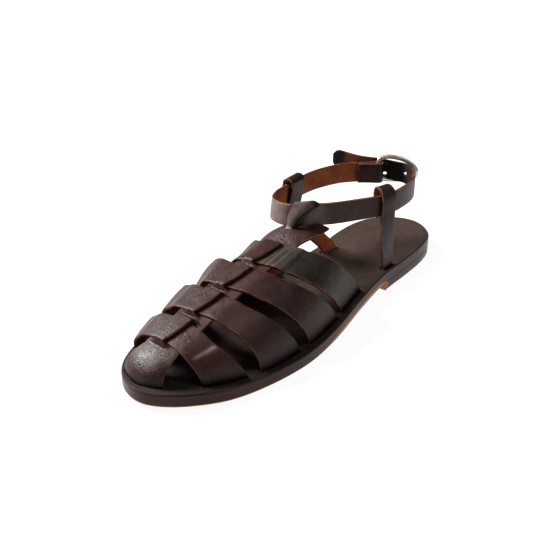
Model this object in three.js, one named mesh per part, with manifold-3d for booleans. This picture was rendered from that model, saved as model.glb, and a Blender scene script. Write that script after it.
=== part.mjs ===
// Fisherman sandal, left shoe: slotted sole, woven strap upper, two keepers and a buckled ankle strap.
// Millimetres, +Z up. The toe points to -Y, the heel to +Y, and +X is the outer (lateral) side.
// A station s is measured along the sole from the back of the heel to the tip of the toe.
import * as THREE from 'three';
import { mergeVertices } from 'three/addons/utils/BufferGeometryUtils.js';
import Module from 'manifold-3d';

const wasm = await Module();
wasm.setup();

// Sole: insole, outsole and heel lift, stacked with the gap that touching pieces keep
const GAP = 0.3;
const SOLE_LENGTH = 250;
const INSOLE_THICK = 3.1;
const OUTSOLE_THICK = 3.6;
const SOLE_THICK = INSOLE_THICK + GAP + OUTSOLE_THICK;
const HEEL_LIFT = 5.4;
const HEEL_BREAST = 78;
const ARCH_START = 70;
const ARCH_END = 165;
const TOE_SPRING = 3;
const SPRING_START = 195;
const EDGE_ROUND = 0.7;
const SOLE_STATIONS = 40;
const HEEL_STATIONS = 18;
const SOLE_OUTLINE = [
  { s: 0, lateral: 0, medial: 0 },
  { s: 4, lateral: 11.2, medial: 12.6 },
  { s: 14, lateral: 20.8, medial: 22.6 },
  { s: 30, lateral: 25.5, medial: 27.4 },
  { s: 50, lateral: 27.4, medial: 27.4 },
  { s: 80, lateral: 28.9, medial: 23.8 },
  { s: 110, lateral: 33.0, medial: 27.2 },
  { s: 140, lateral: 38.3, medial: 35.7 },
  { s: 165, lateral: 40.8, medial: 41.2 },
  { s: 182, lateral: 40.1, medial: 41.8 },
  { s: 200, lateral: 37.0, medial: 38.6 },
  { s: 220, lateral: 31.2, medial: 32.8 },
  { s: 235, lateral: 22.8, medial: 25.0 },
  { s: 245, lateral: 13.2, medial: 15.4 },
  { s: 250, lateral: 0, medial: 0 },
];

// Last: the foot form under the straps, its half widths from the crest line and its height
const LAST_TOE = 244.6;
const CREST_X = -3;
const LATERAL_POWER = 2.5;
const MEDIAL_POWER = 2.2;
const LAST_SECTIONS = [
  { s: 80, lateral: 25.5, medial: 13.5, height: 34.0 },
  { s: 105, lateral: 28.5, medial: 16.5, height: 35.3 },
  { s: 127, lateral: 32.5, medial: 22.5, height: 37.6 },
  { s: 145, lateral: 35.5, medial: 28.5, height: 35.9 },
  { s: 164, lateral: 37.0, medial: 32.5, height: 33.2 },
  { s: 186, lateral: 36.0, medial: 33.6, height: 28.0 },
  { s: 208, lateral: 30.8, medial: 30.0, height: 21.9 },
  { s: 228, lateral: 21.2, medial: 22.6, height: 14.6 },
  { s: 238, lateral: 13.6, medial: 15.6, height: 9.6 },
  { s: LAST_TOE, lateral: 0, medial: 0, height: 0 },
];

// Upper: strips of one leather, each layer pressed a little into the one below
const LEATHER = 1.8;
const LAYER = 1.45;
const SLOT_DEPTH = 2.8;
const SLOT_CLEAR = 0.45;
const SPINE_LATERAL = 11.5;
const SPINE_MEDIAL = -12;
const SPINE_TOP_MEDIAL = 129;
const SPINE_TOP_LATERAL = 112;
const SPINE_RAISE = 2.2;
const RAISE_FROM = 147;
const RAISE_FULL = 132;
const BAND_LATERAL = { front: 2.2, spread: 3.1 };
const BAND_MEDIAL = { front: -2.2, spread: -1.6 };
const SLIT = 0.7;
const NECK_HALF = 1.1;
const BAND_RISE = 4;
const MARGIN_COVER = [12.5, 20];
const FRONT_EDGES = [
  { lateral: 225.8, outerMid: 228.3, crest: 228, innerMid: 227.6, medial: 224 },
  { lateral: 197, outerMid: 202.2, crest: 207.2, innerMid: 204.5, medial: 196 },
  { lateral: 162, outerMid: 176.3, crest: 186, innerMid: 182.5, medial: 169 },
  { lateral: 128.5, outerMid: 151, crest: 163.8, innerMid: 162, medial: 150 },
];
const BACK_EDGES = [
  { lateral: 204.6, outerMid: 213.2, crest: 213, innerMid: 213, medial: 207 },
  { lateral: 170.5, outerMid: 184.8, crest: 192, innerMid: 187, medial: 177 },
  { lateral: 134, outerMid: 156.5, crest: 169.6, innerMid: 164, medial: 151 },
  { lateral: 103.5, outerMid: 128, crest: 145.5, innerMid: 137, medial: 112 },
];

// Buckle: its bar in plan, the way from the bar to the far end of the frame, and its wire
const BAR = new THREE.Vector3(-7.6, 87.6, 55.9);
const BUCKLE_ALONG = new THREE.Vector3(0.76, 0.65, 0).normalize();
const BUCKLE_OUT = new THREE.Vector3(-0.65, 0.76, 0).normalize();
const FRAME_LENGTH = 21;
const FRAME_HEIGHT = 16.5;
const FRAME_BOW = 3.2;
const FRAME_WIRE = 1.1;
const BAR_CORNER = 2;
const END_CORNER = 7.5;
const PRONG_WIRE = 0.8;
const PRONG_ROOT = { along: 2, out: 1 };
const PRONG_TIP = { along: FRAME_LENGTH + 1.6, out: 2.3 };

// Ankle strap, through the middle of its height; lean is how far its top edge sits inwards.
// Rows with along, out and rise are measured from the buckle bar.
const STRAP_HEIGHT = 12.5;
const STRAP_THICK = 1.8;
const FOLD = FRAME_WIRE + GAP + STRAP_THICK / 2;
const PLY = STRAP_THICK + GAP;
const ANKLE_PATH = [
  { at: 'sewn end', along: -11.5, out: FOLD - PLY, rise: -1.3, lean: 0 },
  { at: 'inner ply', along: -5.5, out: -1, rise: -0.9, lean: 0 },
  { at: 'inside the bar', along: 0, out: -FOLD, rise: -0.6, lean: 0 },
  { at: 'into the fold', along: 0.75 * FOLD, out: -0.75 * FOLD, rise: -0.6, lean: 0 },
  { at: 'round the bar', along: FOLD, out: 0, rise: -0.6, lean: 0 },
  { at: 'out of the fold', along: 0.75 * FOLD, out: 0.75 * FOLD, rise: -0.6, lean: 0 },
  { at: 'outside the bar', along: 0, out: FOLD, rise: -0.6, lean: 0 },
  { at: 'outer ply', along: -5.5, out: FOLD, rise: -0.9, lean: 0 },
  { at: 'medial back', along: -11.5, out: FOLD, rise: -1.3, lean: 0 },
  { at: 'medial rear side', x: -25.6, y: 72.5, z: 54.3, lean: 0 },
  { at: 'medial side', x: -31, y: 52, z: 54.3, lean: 0.3 },
  { at: 'medial keeper', x: -29.8, y: 30, z: 54.4, lean: 0.6 },
  { at: 'medial front', x: -25.2, y: 8, z: 55.4, lean: 0.6 },
  { at: 'front bend', x: -17, y: -2.7, z: 56.6, lean: 0.5 },
  { at: 'tongue', x: -5.4, y: -5, z: 57.2, lean: 0.5 },
  { at: 'lateral front', x: 4.2, y: 5, z: 56.8, lean: 0.5 },
  { at: 'lateral front side', x: 9.2, y: 14.4, z: 55.6, lean: 0.3 },
  { at: 'lateral side', x: 16.2, y: 28.5, z: 55, lean: 0.1 },
  { at: 'lateral keeper', x: 25, y: 47, z: 55, lean: 0 },
  { at: 'lateral back', x: 26.8, y: 63, z: 54.8, lean: 0 },
  { at: 'rear bend', x: 23.6, y: 79, z: 54.5, lean: 0 },
  { at: 'before the corner', x: 15.6, y: 91, z: 54.3, lean: 0 },
  { at: 'rear corner', along: 18.6, out: -FOLD, rise: -0.8, lean: 0 },
  { at: 'in the frame', along: 10, out: 0.9, rise: 0.2, lean: 0 },
  { at: 'over the bar', along: 0, out: FOLD + PLY, rise: 0.8, lean: 0 },
  { at: 'tail', along: -11, out: FOLD + PLY + 1, rise: 2.2, lean: 0 },
  { at: 'tail tip', along: -26.5, out: 11.6, rise: 5, lean: 0 },
];
const ANKLE_STEPS = 4;
const TAIL_POINT = 4;
const HOLE_RADIUS = 1.3;
const HOLES = [
  { along: 17, out: -1.7, rise: -0.6 },
  { along: -11, out: FOLD + PLY + 1, rise: 2.2 },
];
const PRONG_CLEAR = 1.2;
const PRONG_SLOTS = [
  { along: [-3.5, 3.5], out: [-0.5, 3.35] },
  { along: [4.5, 14.2], out: [-3, 5] },
];

// Keepers and tongue: strips that turn over the top edge of the ankle strap
const TURN = STRAP_THICK / 2 + GAP + 0.25 + LEATHER / 2;
const ROW_STEPS = 2;
const KEEPER_BEND = 5;
const KEEPER_END = 2;
const KEEPER_INSIDE = TURN + 1;
const KEEPERS = [
  { name: 'keeper_lateral', at: 'lateral keeper', x: 24.4, s: 74, way: 1, wide: 9.2, slack: 1.6 },
  { name: 'keeper_medial', at: 'medial keeper', x: -15.6, s: 75, way: -1, wide: 10.6, slack: 0.4 },
];
const TONGUE_ROOT = [138, 134];
const TONGUE_HALF = 1.6;
const TONGUE_ROWS = [
  { inner: 0.02, outer: 0.25, high: -6.6, innerOut: 2.5, outerOut: 2.7 },
  { inner: 0.08, outer: 0.36, high: -2.5, innerOut: 2.4, outerOut: 3.2 },
  { inner: 0.15, outer: 0.54, high: 1.8, innerOut: 2.4, outerOut: 3.5 },
  { inner: 0.22, outer: 0.8, high: 5.4, innerOut: 2.3, outerOut: 3.1 },
  { inner: 0.3, outer: 1.05, high: 7.5, innerOut: 1.5, outerOut: 1.8 },
  { inner: 0.4, outer: 1.22, high: 8.2, innerOut: -0.3, outerOut: -0.3 },
  { inner: 0.5, outer: 1.36, high: 7.2, innerOut: -2.7, outerOut: -2.7 },
  { inner: 0.56, outer: 1.44, high: 4.4, innerOut: -3.5, outerOut: -3.5 },
  { inner: 0.6, outer: 1.44, high: 0, innerOut: -2.7, outerOut: -2.7 },
];

const smooth = (x, from, to) => THREE.MathUtils.smoothstep(x, from, to);
const mix = (a, b, t) => a + (b - a) * t;
const stationY = (s) => SOLE_LENGTH / 2 - s;
const vec = (x, y, z) => new THREE.Vector3(x, y, z);
const UP = vec(0, 0, 1);

// Smooth curve through one column of a table, over a key worked out from each row
function columnCurve(rows, key, column) {
  const xs = rows.map(key);
  const ys = rows.map((row) => row[column]);
  const last = xs.length - 1;
  const slope = (i) => {
    const a = Math.max(i - 1, 0);
    const b = Math.min(i + 1, last);
    return (ys[b] - ys[a]) / (xs[b] - xs[a]);
  };
  return (x) => {
    let i = 0;
    while (i < last - 1 && x > xs[i + 1]) i += 1;
    const span = xs[i + 1] - xs[i];
    const t = THREE.MathUtils.clamp((x - xs[i]) / span, 0, 1);
    const rise = ys[i + 1] - ys[i];
    const a = slope(i) * span;
    const b = slope(i + 1) * span;
    return ys[i] + t * (a + t * (3 * rise - 2 * a - b + t * (a + b - 2 * rise)));
  };
}

// Height of the insole's upper face over the floor
function soleTop(s) {
  const heel = HEEL_LIFT * (1 - smooth(s, ARCH_START, ARCH_END));
  const spring = TOE_SPRING * smooth(s, SPRING_START, SOLE_LENGTH) ** 1.5;
  return SOLE_THICK + heel + spring;
}

// Outline half widths, read along an angle so that heel and toe come out round
const soleAngle = (s) => Math.acos(1 - (2 * s) / SOLE_LENGTH);
const soleLateral = columnCurve(SOLE_OUTLINE, (row) => soleAngle(row.s), 'lateral');
const soleMedial = columnCurve(SOLE_OUTLINE, (row) => soleAngle(row.s), 'medial');

// Last sizes, read along a root so that the toe comes out round
const toeRoot = (s) => -Math.sqrt(Math.max(LAST_TOE - s, 0));
const lastLateral = columnCurve(LAST_SECTIONS, (row) => toeRoot(row.s), 'lateral');
const lastMedial = columnCurve(LAST_SECTIONS, (row) => toeRoot(row.s), 'medial');
const lastHeight = columnCurve(LAST_SECTIONS, (row) => toeRoot(row.s), 'height');
const lastHalf = (s, side) => (side > 0 ? lastLateral(toeRoot(s)) : lastMedial(toeRoot(s)));

const sectionPower = (side) => (side > 0 ? LATERAL_POWER : MEDIAL_POWER);

// Point of the last at station s and turn angle: 0 is the lateral foot line, PI the medial one
function lastByTurn(s, turn) {
  const c = Math.cos(turn);
  const power = 2 / sectionPower(c);
  const reach = Math.abs(c) ** power * Math.sign(c);
  const rise = Math.abs(Math.sin(turn)) ** power;
  const x = CREST_X + lastHalf(s, c) * reach;
  return vec(x, stationY(s), soleTop(s) + lastHeight(toeRoot(s)) * rise);
}

// Point of the last at station s and distance d from the crest line
function lastByOffset(s, d) {
  const ratio = Math.min(Math.abs(d) / Math.max(lastHalf(s, d), 1e-6), 1);
  const power = sectionPower(d);
  const rise = (1 - ratio ** power) ** (1 / power);
  return vec(CREST_X + d, stationY(s), soleTop(s) + lastHeight(toeRoot(s)) * rise);
}

function geometryFrom(positions, index) {
  const geometry = new THREE.BufferGeometry();
  geometry.setAttribute('position', new THREE.Float32BufferAttribute(positions, 3));
  geometry.setIndex(index);
  return geometry;
}

// Closed wall from a sheet point(u, v), between two offsets along the sheet's normal
function sheetWall({ along, across, point, low, high }) {
  const step = 1e-3;
  const normal = (u, v) => {
    const du = point(Math.min(u + step, 1), v).sub(point(Math.max(u - step, 0), v));
    const dv = point(u, Math.min(v + step, 1)).sub(point(u, Math.max(v - step, 0)));
    return du.cross(dv).normalize();
  };
  const positions = [];
  for (const offset of [low, high]) {
    for (let i = 0; i <= along; i += 1) {
      for (let j = 0; j <= across; j += 1) {
        const u = i / along;
        const v = j / across;
        const shift = typeof offset === 'function' ? offset(u, v) : offset;
        positions.push(...point(u, v).addScaledVector(normal(u, v), shift));
      }
    }
  }
  const at = (side, i, j) => (side * (along + 1) + i) * (across + 1) + j;
  const index = [];
  const quad = (a, b, c, d) => index.push(a, b, c, a, c, d);
  for (let i = 0; i < along; i += 1) {
    for (let j = 0; j < across; j += 1) {
      quad(at(1, i, j), at(1, i + 1, j), at(1, i + 1, j + 1), at(1, i, j + 1));
      quad(at(0, i, j), at(0, i, j + 1), at(0, i + 1, j + 1), at(0, i + 1, j));
    }
    quad(at(0, i, 0), at(0, i + 1, 0), at(1, i + 1, 0), at(1, i, 0));
    quad(at(0, i, across), at(1, i, across), at(1, i + 1, across), at(0, i + 1, across));
  }
  for (let j = 0; j < across; j += 1) {
    quad(at(0, 0, j), at(1, 0, j), at(1, 0, j + 1), at(0, 0, j + 1));
    quad(at(0, along, j), at(0, along, j + 1), at(1, along, j + 1), at(1, along, j));
  }
  return geometryFrom(positions, index);
}

// Round wire along a curve, with flat ends or closed on itself
function wire(curve, radius, steps, sides, side, closed) {
  const positions = [];
  const rings = closed ? steps : steps + 1;
  for (let i = 0; i < rings; i += 1) {
    const centre = curve.getPointAt(i / steps);
    const across = side.clone();
    const out = across.clone().cross(curve.getTangentAt(i / steps)).normalize();
    for (let j = 0; j < sides; j += 1) {
      const turn = (2 * Math.PI * j) / sides;
      const p = centre.clone();
      p.addScaledVector(across, radius * Math.cos(turn)).addScaledVector(out, -radius * Math.sin(turn));
      positions.push(...p);
    }
  }
  const index = [];
  for (let i = 0; i < steps; i += 1) {
    for (let j = 0; j < sides; j += 1) {
      const a = i * sides + j;
      const b = i * sides + ((j + 1) % sides);
      const c = ((i + 1) % rings) * sides + ((j + 1) % sides);
      const d = ((i + 1) % rings) * sides + j;
      index.push(a, b, c, a, c, d);
    }
  }
  for (let j = 1; !closed && j < sides - 1; j += 1) {
    const end = (rings - 1) * sides;
    index.push(0, j + 1, j, end, end + j, end + j + 1);
  }
  return geometryFrom(positions, index);
}

function toSolid(geometry) {
  const vertProperties = new Float32Array(geometry.getAttribute('position').array);
  const triVerts = new Uint32Array(geometry.getIndex().array);
  return new wasm.Manifold(new wasm.Mesh({ numProp: 3, vertProperties, triVerts }));
}

function toGeometry(solid) {
  const mesh = solid.getMesh();
  return geometryFrom(Array.from(mesh.vertProperties), Array.from(mesh.triVerts));
}

const join = (geometries) => geometries.map(toSolid).reduce((a, b) => a.add(b));
const cut = (solid, geometries) => geometries.map(toSolid).reduce((a, b) => a.subtract(b), solid);

// Slab of the sole between two height functions, from station 0 to sEnd, with softened edges
function soleSlab(bottom, top, sEnd, stations) {
  const endAngle = soleAngle(sEnd);
  const rows = [];
  for (let i = 0; i <= stations; i += 1) {
    const angle = (endAngle * i) / stations;
    const s = (SOLE_LENGTH * (1 - Math.cos(angle))) / 2;
    rows.push({ s, lateral: soleLateral(angle), medial: soleMedial(angle) });
  }
  const open = rows[stations].lateral > EDGE_ROUND;
  const rim = rows.map((row) => ({ x: row.lateral, s: row.s }));
  const first = open ? stations : stations - 1;
  for (let i = first; i > 0; i -= 1) rim.push({ x: -rows[i].medial, s: rows[i].s });
  const count = rim.length;
  const inset = (i, amount) => {
    const a = rim[(i + count - 1) % count];
    const b = rim[(i + 1) % count];
    const tangent = new THREE.Vector2(b.x - a.x, b.s - a.s).normalize();
    const s = THREE.MathUtils.clamp(rim[i].s + tangent.x * amount, 0, sEnd);
    return { x: rim[i].x - tangent.y * amount, s };
  };
  const layers = [
    { height: bottom, shift: 0, amount: EDGE_ROUND },
    { height: bottom, shift: EDGE_ROUND, amount: 0 },
    { height: top, shift: -EDGE_ROUND, amount: 0 },
    { height: top, shift: 0, amount: EDGE_ROUND },
  ];
  const positions = [];
  for (const { height, shift, amount } of layers) {
    for (let i = 0; i < count; i += 1) {
      const p = inset(i, amount);
      positions.push(p.x, stationY(p.s), height(rim[i].s) + shift);
    }
  }
  const index = [];
  const quad = (a, b, c, d) => index.push(a, b, c, a, c, d);
  for (let k = 0; k < layers.length - 1; k += 1) {
    for (let i = 0; i < count; i += 1) {
      const n = (i + 1) % count;
      quad(k * count + i, (k + 1) * count + i, (k + 1) * count + n, k * count + n);
    }
  }
  const lid = (layer, flip) => {
    const base = layer * count;
    for (let i = 0; i < stations; i += 1) {
      const a = base + i;
      const b = base + i + 1;
      const c = base + ((count - i) % count);
      const d = base + ((count - i - 1) % count);
      const faces = [[a, d, b], [a, c, d]].filter((f) => new Set(f).size === 3);
      for (const f of faces) index.push(...(flip ? f.reverse() : f));
    }
  };
  lid(0, true);
  lid(layers.length - 1, false);
  return geometryFrom(positions, index);
}

const outsoleTop = (s) => soleTop(s) - INSOLE_THICK - GAP;
const outsoleBottom = (s) => soleTop(s) - SOLE_THICK;

// Station of a strap's edge at a turn angle: a bow from the crest over the middle to the foot
function edgeStation(row, turn) {
  const r = Math.abs(1 - (2 * turn) / Math.PI);
  const [mid, foot] = turn < Math.PI / 2 ? [row.outerMid, row.lateral] : [row.innerMid, row.medial];
  return row.crest * (1 - r) * (1 - 2 * r) + mid * 4 * r * (1 - r) + foot * r * (2 * r - 1);
}

// Cross strap number k, grown on all sides by an amount for cutting its slots
function crossStrap(k, grow) {
  const dip = 0.06;
  const turnAt = (u) => Math.PI * THREE.MathUtils.clamp((u - dip) / (1 - 2 * dip), 0, 1);
  const point = (u, v) => {
    const turn = turnAt(u);
    const front = edgeStation(FRONT_EDGES[k], turn) + grow;
    const back = edgeStation(BACK_EDGES[k], turn) - grow;
    const p = lastByTurn(mix(back, front, v), turn);
    const below = Math.max(dip - u, u - 1 + dip, 0) / dip;
    p.z -= below * (SLOT_DEPTH + 4 * grow);
    return p;
  };
  const lift = (u, v) => {
    const d = Math.abs(point(u, v).x - CREST_X);
    return LAYER * (1 - smooth(d, MARGIN_COVER[0], MARGIN_COVER[1]));
  };
  return sheetWall({
    along: 26,
    across: 3,
    point,
    low: (u, v) => lift(u, v) - grow,
    high: (u, v) => lift(u, v) + LEATHER + grow,
  });
}

// Station where the last is only |d| wide, so that a strip there meets the insole
function footStation(d) {
  let a = 200;
  let b = LAST_TOE;
  for (let i = 0; i < 40; i += 1) {
    const m = (a + b) / 2;
    if (lastHalf(m, d) > Math.abs(d)) a = m;
    else b = m;
  }
  return a;
}

const spineOffset = (v) => mix(SPINE_LATERAL, SPINE_MEDIAL, v);

// Point of the spine's sheet: the last, raised where the top of the spine climbs to the ankle strap
function spineAt(s, d) {
  const p = lastByOffset(s, d);
  p.z += SPINE_RAISE * smooth(-s, -RAISE_FROM, -RAISE_FULL);
  return p;
}

// Whole spine strip from the toe slot to the ankle strap, before its slits are cut
function spineSheet(grow) {
  const dip = 0.04;
  const toe = 0.3;
  const point = (u, v) => {
    const d = spineOffset(v) * (1 + grow / SPINE_LATERAL);
    const foot = footStation(d);
    const start = FRONT_EDGES[0].crest + 2;
    const end = mix(SPINE_TOP_LATERAL, SPINE_TOP_MEDIAL, v);
    if (u < toe) {
      const w = THREE.MathUtils.clamp((u - dip) / (toe - dip), 0, 1);
      const s = mix(start, foot, Math.cos((Math.PI / 2) * w));
      const p = spineAt(s, d);
      p.z -= (Math.max(dip - u, 0) / dip) * (SLOT_DEPTH + 4 * grow);
      return p;
    }
    return spineAt(mix(start, end, (u - toe) / (1 - toe)), d);
  };
  return sheetWall({ along: 42, across: 8, point, low: -grow, high: LEATHER + grow });
}

// Middle of the neck in front of cross strap k, where slit band and margins are one
function neckStation(k) {
  if (k === 0) return FRONT_EDGES[0].crest + 2;
  if (k === BACK_EDGES.length) return BACK_EDGES[k - 1].crest - 2;
  return (BACK_EDGES[k - 1].crest + FRONT_EDGES[k].crest) / 2;
}

// Strip of the crest over cross strap k, for its slit window and its raised band.
// Its edges spread from the narrow front end to the back, and grow widens it on both sides.
function crestStrip(k, [front, back], grow, low, high) {
  const point = (u, v) => {
    const s = mix(front, back, u);
    const share = THREE.MathUtils.clamp((neckStation(k) - s) / (neckStation(k) - neckStation(k + 1)), 0, 1);
    const spread = 1 - (1 - share) ** 2;
    const lateral = BAND_LATERAL.front + BAND_LATERAL.spread * spread + grow;
    const medial = BAND_MEDIAL.front + BAND_MEDIAL.spread * spread - grow;
    return spineAt(s, mix(lateral, medial, v));
  };
  return sheetWall({ along: 10, across: 2, point, low, high });
}

function slitWindow(k) {
  const ends = [neckStation(k) - NECK_HALF, neckStation(k + 1) + NECK_HALF];
  return crestStrip(k, ends, SLIT, -1, 3);
}

function raisedBand(k) {
  const front = neckStation(k) + NECK_HALF;
  const back = neckStation(k + 1) - NECK_HALF;
  const lift = (u) => {
    const s = mix(front, back, u);
    return 2 * LAYER * smooth(front - s, 0, BAND_RISE) * smooth(s - back, 0, BAND_RISE);
  };
  return crestStrip(k, [front, back], 0, lift, (u) => lift(u) + LEATHER);
}

// Ankle strap: middle line, lean and the frame of directions at each row of its table
const buckleSpot = (along, out, rise = 0) =>
  vec(0, 0, rise).add(BAR).addScaledVector(BUCKLE_ALONG, along).addScaledVector(BUCKLE_OUT, out);
const anklePoints = ANKLE_PATH.map((row) =>
  row.along === undefined ? vec(row.x, row.y, row.z) : buckleSpot(row.along, row.out, row.rise));
const ankleCurve = new THREE.CatmullRomCurve3(anklePoints, false, 'centripetal');
const ankleLast = ANKLE_PATH.length - 1;
const ankleLean = columnCurve(ANKLE_PATH.map((row, i) => ({ ...row, i })), (row) => row.i, 'lean');

function ankleFrame(u) {
  const middle = ankleCurve.getPoint(u);
  const along = ankleCurve.getTangent(u);
  const outward = along.clone().cross(UP).normalize();
  const tilt = ankleLean(u * ankleLast) / (STRAP_HEIGHT / 2);
  const up = UP.clone().multiplyScalar(Math.sqrt(1 - tilt * tilt)).addScaledVector(outward, -tilt);
  const out = along.clone().cross(up).normalize();
  return { middle, along, up, out };
}

const ankleSpot = (name) => ANKLE_PATH.findIndex((row) => row.at === name) / ankleLast;

function ankleStrap() {
  const point = (u, v) => {
    const { middle, up } = ankleFrame(u);
    const tip = smooth(u, 1 - 0.6 / ankleLast, 1);
    const height = STRAP_HEIGHT - TAIL_POINT * tip * tip;
    return middle.addScaledVector(up, (v - 0.5) * height);
  };
  const half = STRAP_THICK / 2;
  return sheetWall({ along: ANKLE_STEPS * ankleLast, across: 2, point, low: -half, high: half });
}

// Plain closed shape with its seams merged, ready for cutting
function plain(geometry) {
  geometry.deleteAttribute('normal');
  geometry.deleteAttribute('uv');
  return mergeVertices(geometry);
}

const buckleBasis = () => new THREE.Matrix4().makeBasis(BUCKLE_ALONG, UP, BUCKLE_ALONG.clone().cross(UP));

// Box in the buckle's directions, for the slots that the prong passes through
function prongSlot({ along, out }) {
  const box = new THREE.BoxGeometry(along[1] - along[0], 2 * PRONG_CLEAR, out[1] - out[0]);
  const middle = buckleSpot((along[0] + along[1]) / 2, (out[0] + out[1]) / 2);
  return plain(box.applyMatrix4(buckleBasis().setPosition(middle)));
}

// Round peg across the strap, for one punched hole
function punch({ along, out, rise }) {
  const peg = new THREE.CylinderGeometry(HOLE_RADIUS, HOLE_RADIUS, 2 * STRAP_THICK, 10);
  peg.rotateX(Math.PI / 2);
  return plain(peg.applyMatrix4(buckleBasis().setPosition(buckleSpot(along, out, rise))));
}

// Strap lofted through rows, each a function that gives the row's points across the strap
function rowStrap(rows, thick) {
  const point = (u, v) => {
    const line = new THREE.CatmullRomCurve3(rows.map((row) => row(v)), false, 'centripetal');
    return line.getPoint(u);
  };
  const along = ROW_STEPS * (rows.length - 1);
  return sheetWall({ along, across: 3, point, low: -thick / 2, high: thick / 2 });
}

// Row along the ankle strap about spot u, at a height on its face and a distance out from it
function ankleRow(u, width, high, outward) {
  const step = 1e-3;
  const pace = ankleCurve.getPoint(u + step).distanceTo(ankleCurve.getPoint(u - step)) / (2 * step);
  return (v) => {
    const { middle, up, out } = ankleFrame(u + ((0.5 - v) * width) / pace);
    return middle.addScaledVector(up, high).addScaledVector(out, outward);
  };
}

// Keeper: from its slot up outside the ankle strap, round the strap's top edge and down inside
function keeper({ at, x, s, way, wide, slack }, grow) {
  const spot = ankleSpot(at);
  const half = STRAP_HEIGHT / 2;
  const crown = half + slack;
  const width = wide + 2 * grow;
  const foot = (high) => (v) =>
    vec(x, stationY(s) + (way * mix(width, -width, v)) / 2, soleTop(s) + high);
  const onStrap = (high, outward) => ankleRow(spot, width, high, outward);
  const below = onStrap(-half - KEEPER_BEND, TURN);
  const rows = [
    foot(-SLOT_DEPTH - 4 * grow),
    foot(1),
    (v) => foot(0)(v).lerp(below(v), 0.5),
    below,
    onStrap(1.5 - half, TURN),
    onStrap(half - 1, TURN),
    onStrap(crown + 0.6 * TURN, 0.8 * TURN),
    onStrap(crown + TURN, TURN - KEEPER_INSIDE),
    onStrap(crown + 0.6 * TURN, -0.8 * KEEPER_INSIDE),
    onStrap(half - 1, -KEEPER_INSIDE),
    onStrap(-half - KEEPER_END, -TURN),
  ];
  return rowStrap(rows, LEATHER + 2 * grow);
}

// Tongue: a slit strip of the spine, aslant over the front of the ankle strap and down inside
function tongue() {
  const onSpine = (s) => (v) =>
    spineAt(s, mix(TONGUE_HALF, -TONGUE_HALF, v)).addScaledVector(UP, LEATHER / 2);
  const onStrap = ({ inner, outer, high, innerOut, outerOut }) => (v) => {
    const { middle, up, out } = ankleFrame(ankleSpot('tongue') + mix(outer, inner, v) / ankleLast);
    return middle.addScaledVector(up, high).addScaledVector(out, mix(outerOut, innerOut, v));
  };
  const rows = [...TONGUE_ROOT.map(onSpine), ...TONGUE_ROWS.map(onStrap)];
  return rowStrap(rows, LEATHER);
}

// Flat loop of wire, bowed outwards between its bar and its far end
class BowedLoop extends THREE.Curve {
  constructor(path) {
    super();
    this.path = path;
  }

  getPoint(t) {
    const p = this.path.getPointAt(t);
    const share = THREE.MathUtils.clamp(p.clone().sub(BAR).dot(BUCKLE_ALONG) / FRAME_LENGTH, 0, 1);
    return p.addScaledVector(BUCKLE_OUT, FRAME_BOW * Math.sin(Math.PI * share));
  }
}

function buckleFrame() {
  const half = FRAME_HEIGHT / 2;
  const corners = [
    { along: 0, up: -half, r: BAR_CORNER },
    { along: FRAME_LENGTH, up: -half, r: END_CORNER },
    { along: FRAME_LENGTH, up: half, r: END_CORNER },
    { along: 0, up: half, r: BAR_CORNER },
  ];
  const towards = (from, to) =>
    buckleSpot(
      from.along + Math.sign(to.along - from.along) * from.r,
      0,
      from.up + Math.sign(to.up - from.up) * from.r,
    );
  const path = new THREE.CurvePath();
  corners.forEach((corner, i) => {
    const before = corners[(i + 3) % 4];
    const after = corners[(i + 1) % 4];
    const middle = buckleSpot(corner.along, 0, corner.up);
    const away = towards(corner, after);
    path.add(new THREE.QuadraticBezierCurve3(towards(corner, before), middle, away));
    path.add(new THREE.LineCurve3(away, towards(after, corner)));
  });
  return wire(new BowedLoop(path), FRAME_WIRE, 32, 8, BUCKLE_OUT, true);
}

function buckleProng() {
  const root = buckleSpot(PRONG_ROOT.along, PRONG_ROOT.out);
  const tip = buckleSpot(PRONG_TIP.along, PRONG_TIP.out);
  return wire(new THREE.LineCurve3(root, tip), PRONG_WIRE, 4, 8, UP, false);
}

// Sub-parts
const strapNumbers = FRONT_EDGES.map((row, k) => k);
const straps = strapNumbers.map((k) => crossStrap(k, 0));
const bands = strapNumbers.map(raisedBand);
const spine = cut(toSolid(spineSheet(0)), strapNumbers.map(slitWindow));
const upper = toGeometry(spine.add(join([...straps, ...bands, tongue()])));
const slotCutters = [
  ...strapNumbers.map((k) => crossStrap(k, SLOT_CLEAR)),
  spineSheet(SLOT_CLEAR),
  ...KEEPERS.map((row) => keeper(row, SLOT_CLEAR)),
];
const insoleSlab = soleSlab((s) => soleTop(s) - INSOLE_THICK, soleTop, SOLE_LENGTH, SOLE_STATIONS);
const insole = toGeometry(cut(toSolid(insoleSlab), slotCutters));
const outsole = soleSlab(outsoleBottom, outsoleTop, SOLE_LENGTH, SOLE_STATIONS);
const heelLift = soleSlab(() => 0, (s) => outsoleBottom(s) - GAP, HEEL_BREAST, HEEL_STATIONS);
const ankle = toGeometry(cut(toSolid(ankleStrap()), [...PRONG_SLOTS.map(prongSlot), ...HOLES.map(punch)]));

const group = new THREE.Group();
function addPiece(name, geometry, color, roughness, metalness) {
  const mesh = new THREE.Mesh(geometry, new THREE.MeshStandardMaterial({ color, roughness, metalness }));
  mesh.name = name;
  group.add(mesh);
}

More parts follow.
